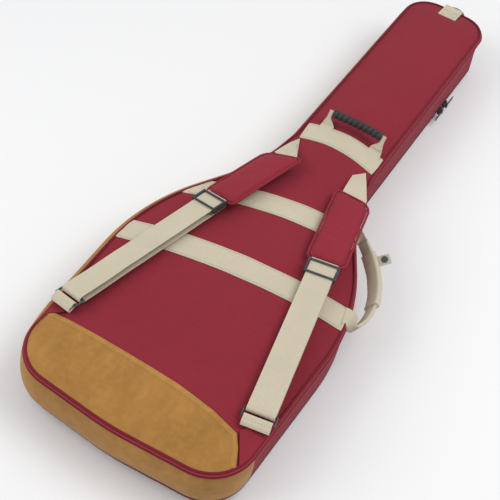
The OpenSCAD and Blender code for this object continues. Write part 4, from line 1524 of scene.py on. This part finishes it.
def build_front():
    flat_cloth("front_cloth", seam_outline(5), FRONT_Z, FRONT_Z + 2, "wine", "front_half",
               ["front_panel"], wavy=0.3, seed=14)
    build_pocket("front_pocket", POCKET_CORNERS, ["front_pocket"],
                 lambda p: np.array([0.0, min(max(p[1], 120.0), 360.0)]), (84, 290))
    build_pocket("neck_pocket", NECK_POCKET_CORNERS, ["neck_pocket"],
                 lambda p: np.array([0.0, min(max(p[1], 700.0), 960.0)]), (690, 960))
    sweep_piece("front_piping_cord", closed_path(seam_outline(4.2), FRONT_Z + 1.9),
                circle_section(1.9, 10), "wine_trim", "front_half", True, ["front_piping"])
    lines = []
    for inset, z in ((5.4, 7.4), (3.4, 8.6), (2.6, 10.4), (2.8, 12.2), (3.4, 13.2)):
        lines.append(closed_path(seam_outline(inset), z))
    rim = np.array(lines).transpose(1, 0, 2)
    slab_piece("front_rim_cloth", rim, 1.2, "wine", "front_half", ["front_rim"], wrap=True, edge=1)
    flat_cloth("front_lining_cloth", seam_outline(7.0), 14.0, 15.0, "lining", "front_half",
               ["front_lining"], wavy=0.2, seed=16)


# ------------------------------------------------------------------ inside and hinge
def build_inside():
    flat_cloth("ceiling_cloth", seam_outline(6.8), SEAM_Z - 12.5, SEAM_Z - 11, "lining", "back_half",
               ["back_lining"], wavy=0.3, seed=18)
    bevelled("neck_rest", "neck_rest_block", "lining", "front_half", 2.5)


def build_hinge():
    """The side cloth runs unbroken across the opening's level between the two ends of the zip."""
    first, last = seam_index(-178, 330), seam_index(-176, 70)
    index = np.arange(first, last + 1)
    lines = []
    levels = [(4.0, 12.2), (2.2, 13.2), (1.2, 14.2), (0.9, 15.5), (1.2, 16.8), (1.8, 18.2), (2.2, 20.0)]
    for inset, z in levels:
        lines.append(np.column_stack([seam_outline(inset)[index], np.full(len(index), z)]))
    grid = np.array(lines).transpose(1, 0, 2)
    piece = slab_piece("hinge_cloth", grid, 1.2, "suede", None, ["hinge_strip"], edge=0.8)
    middle = SEAM[index[len(index) // 2]]
    tuple(row((middle[0], middle[1], 14.3)))
    tuple(row((middle[0], middle[1], 17.0)))
    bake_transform(piece)


# ------------------------------------------------------------------ metal and moulded pieces
def bevelled(node, name, finish, body, width):
    """The CAD node's own shape with its sharp edges rounded."""
    source = frame_object(node)
    mesh = source.data.copy()
    piece = bpy.data.objects.new(name, mesh)
    SCENE.collection.objects.link(piece)
    mesh.materials.clear()
    mesh.materials.append(MATERIALS[finish])
    tidy(piece)
    bevel = piece.modifiers.new("rounded", "BEVEL")
    bevel.width = width / 1000
    bevel.segments = 3
    bevel.limit_method = "ANGLE"
    bevel.angle_limit = math.radians(40)
    bevel.harden_normals = False
    mesh.polygons.foreach_set("use_smooth", [True] * len(mesh.polygons))
    mesh.set_sharp_from_angle(angle=math.radians(40))
    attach(piece, body)
    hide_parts(node)
    return piece


def frame_object(node):
    return next(o for o in bpy.data.objects if o.get("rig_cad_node") == node)


def build_hardware():
    for side in ("left", "right"):
        bevelled("triglide_" + side, "slide_buckle_" + side, "metal", "triglide_" + side, 0.7)
    for slider in ("main_slider_upper", "main_slider_lower", "pocket_slider", "neck_pocket_slider"):
        bevelled(slider, slider + "_body", "metal", slider, 0.35)
    for pull in ("main_pull_upper", "main_pull_lower", "pocket_pull", "neck_pocket_pull"):
        bevelled(pull, pull + "_tab", "metal", pull, 0.25)
    for node, finish in (("ring_left", "metal"), ("ring_right", "metal"), ("snap_cap", "metal"),
                         ("head_ring", "plastic"), ("front_foam", "foam"), ("back_foam", "foam")):
        node_object = frame_object(node)
        node_object.data.materials.clear()
        node_object.data.materials.append(MATERIALS[finish])


add_camera()
add_stage()
back_cloth = build_back_panel()
ground = Ground(back_cloth)
build_walls()
build_piping()
build_main_zip()
build_suede_patch()
build_bands()
build_straps()
build_grip()
build_handle_webbing()
build_side_handle()
build_head_tab()
build_front()
build_inside()
build_hinge()
build_hardware()
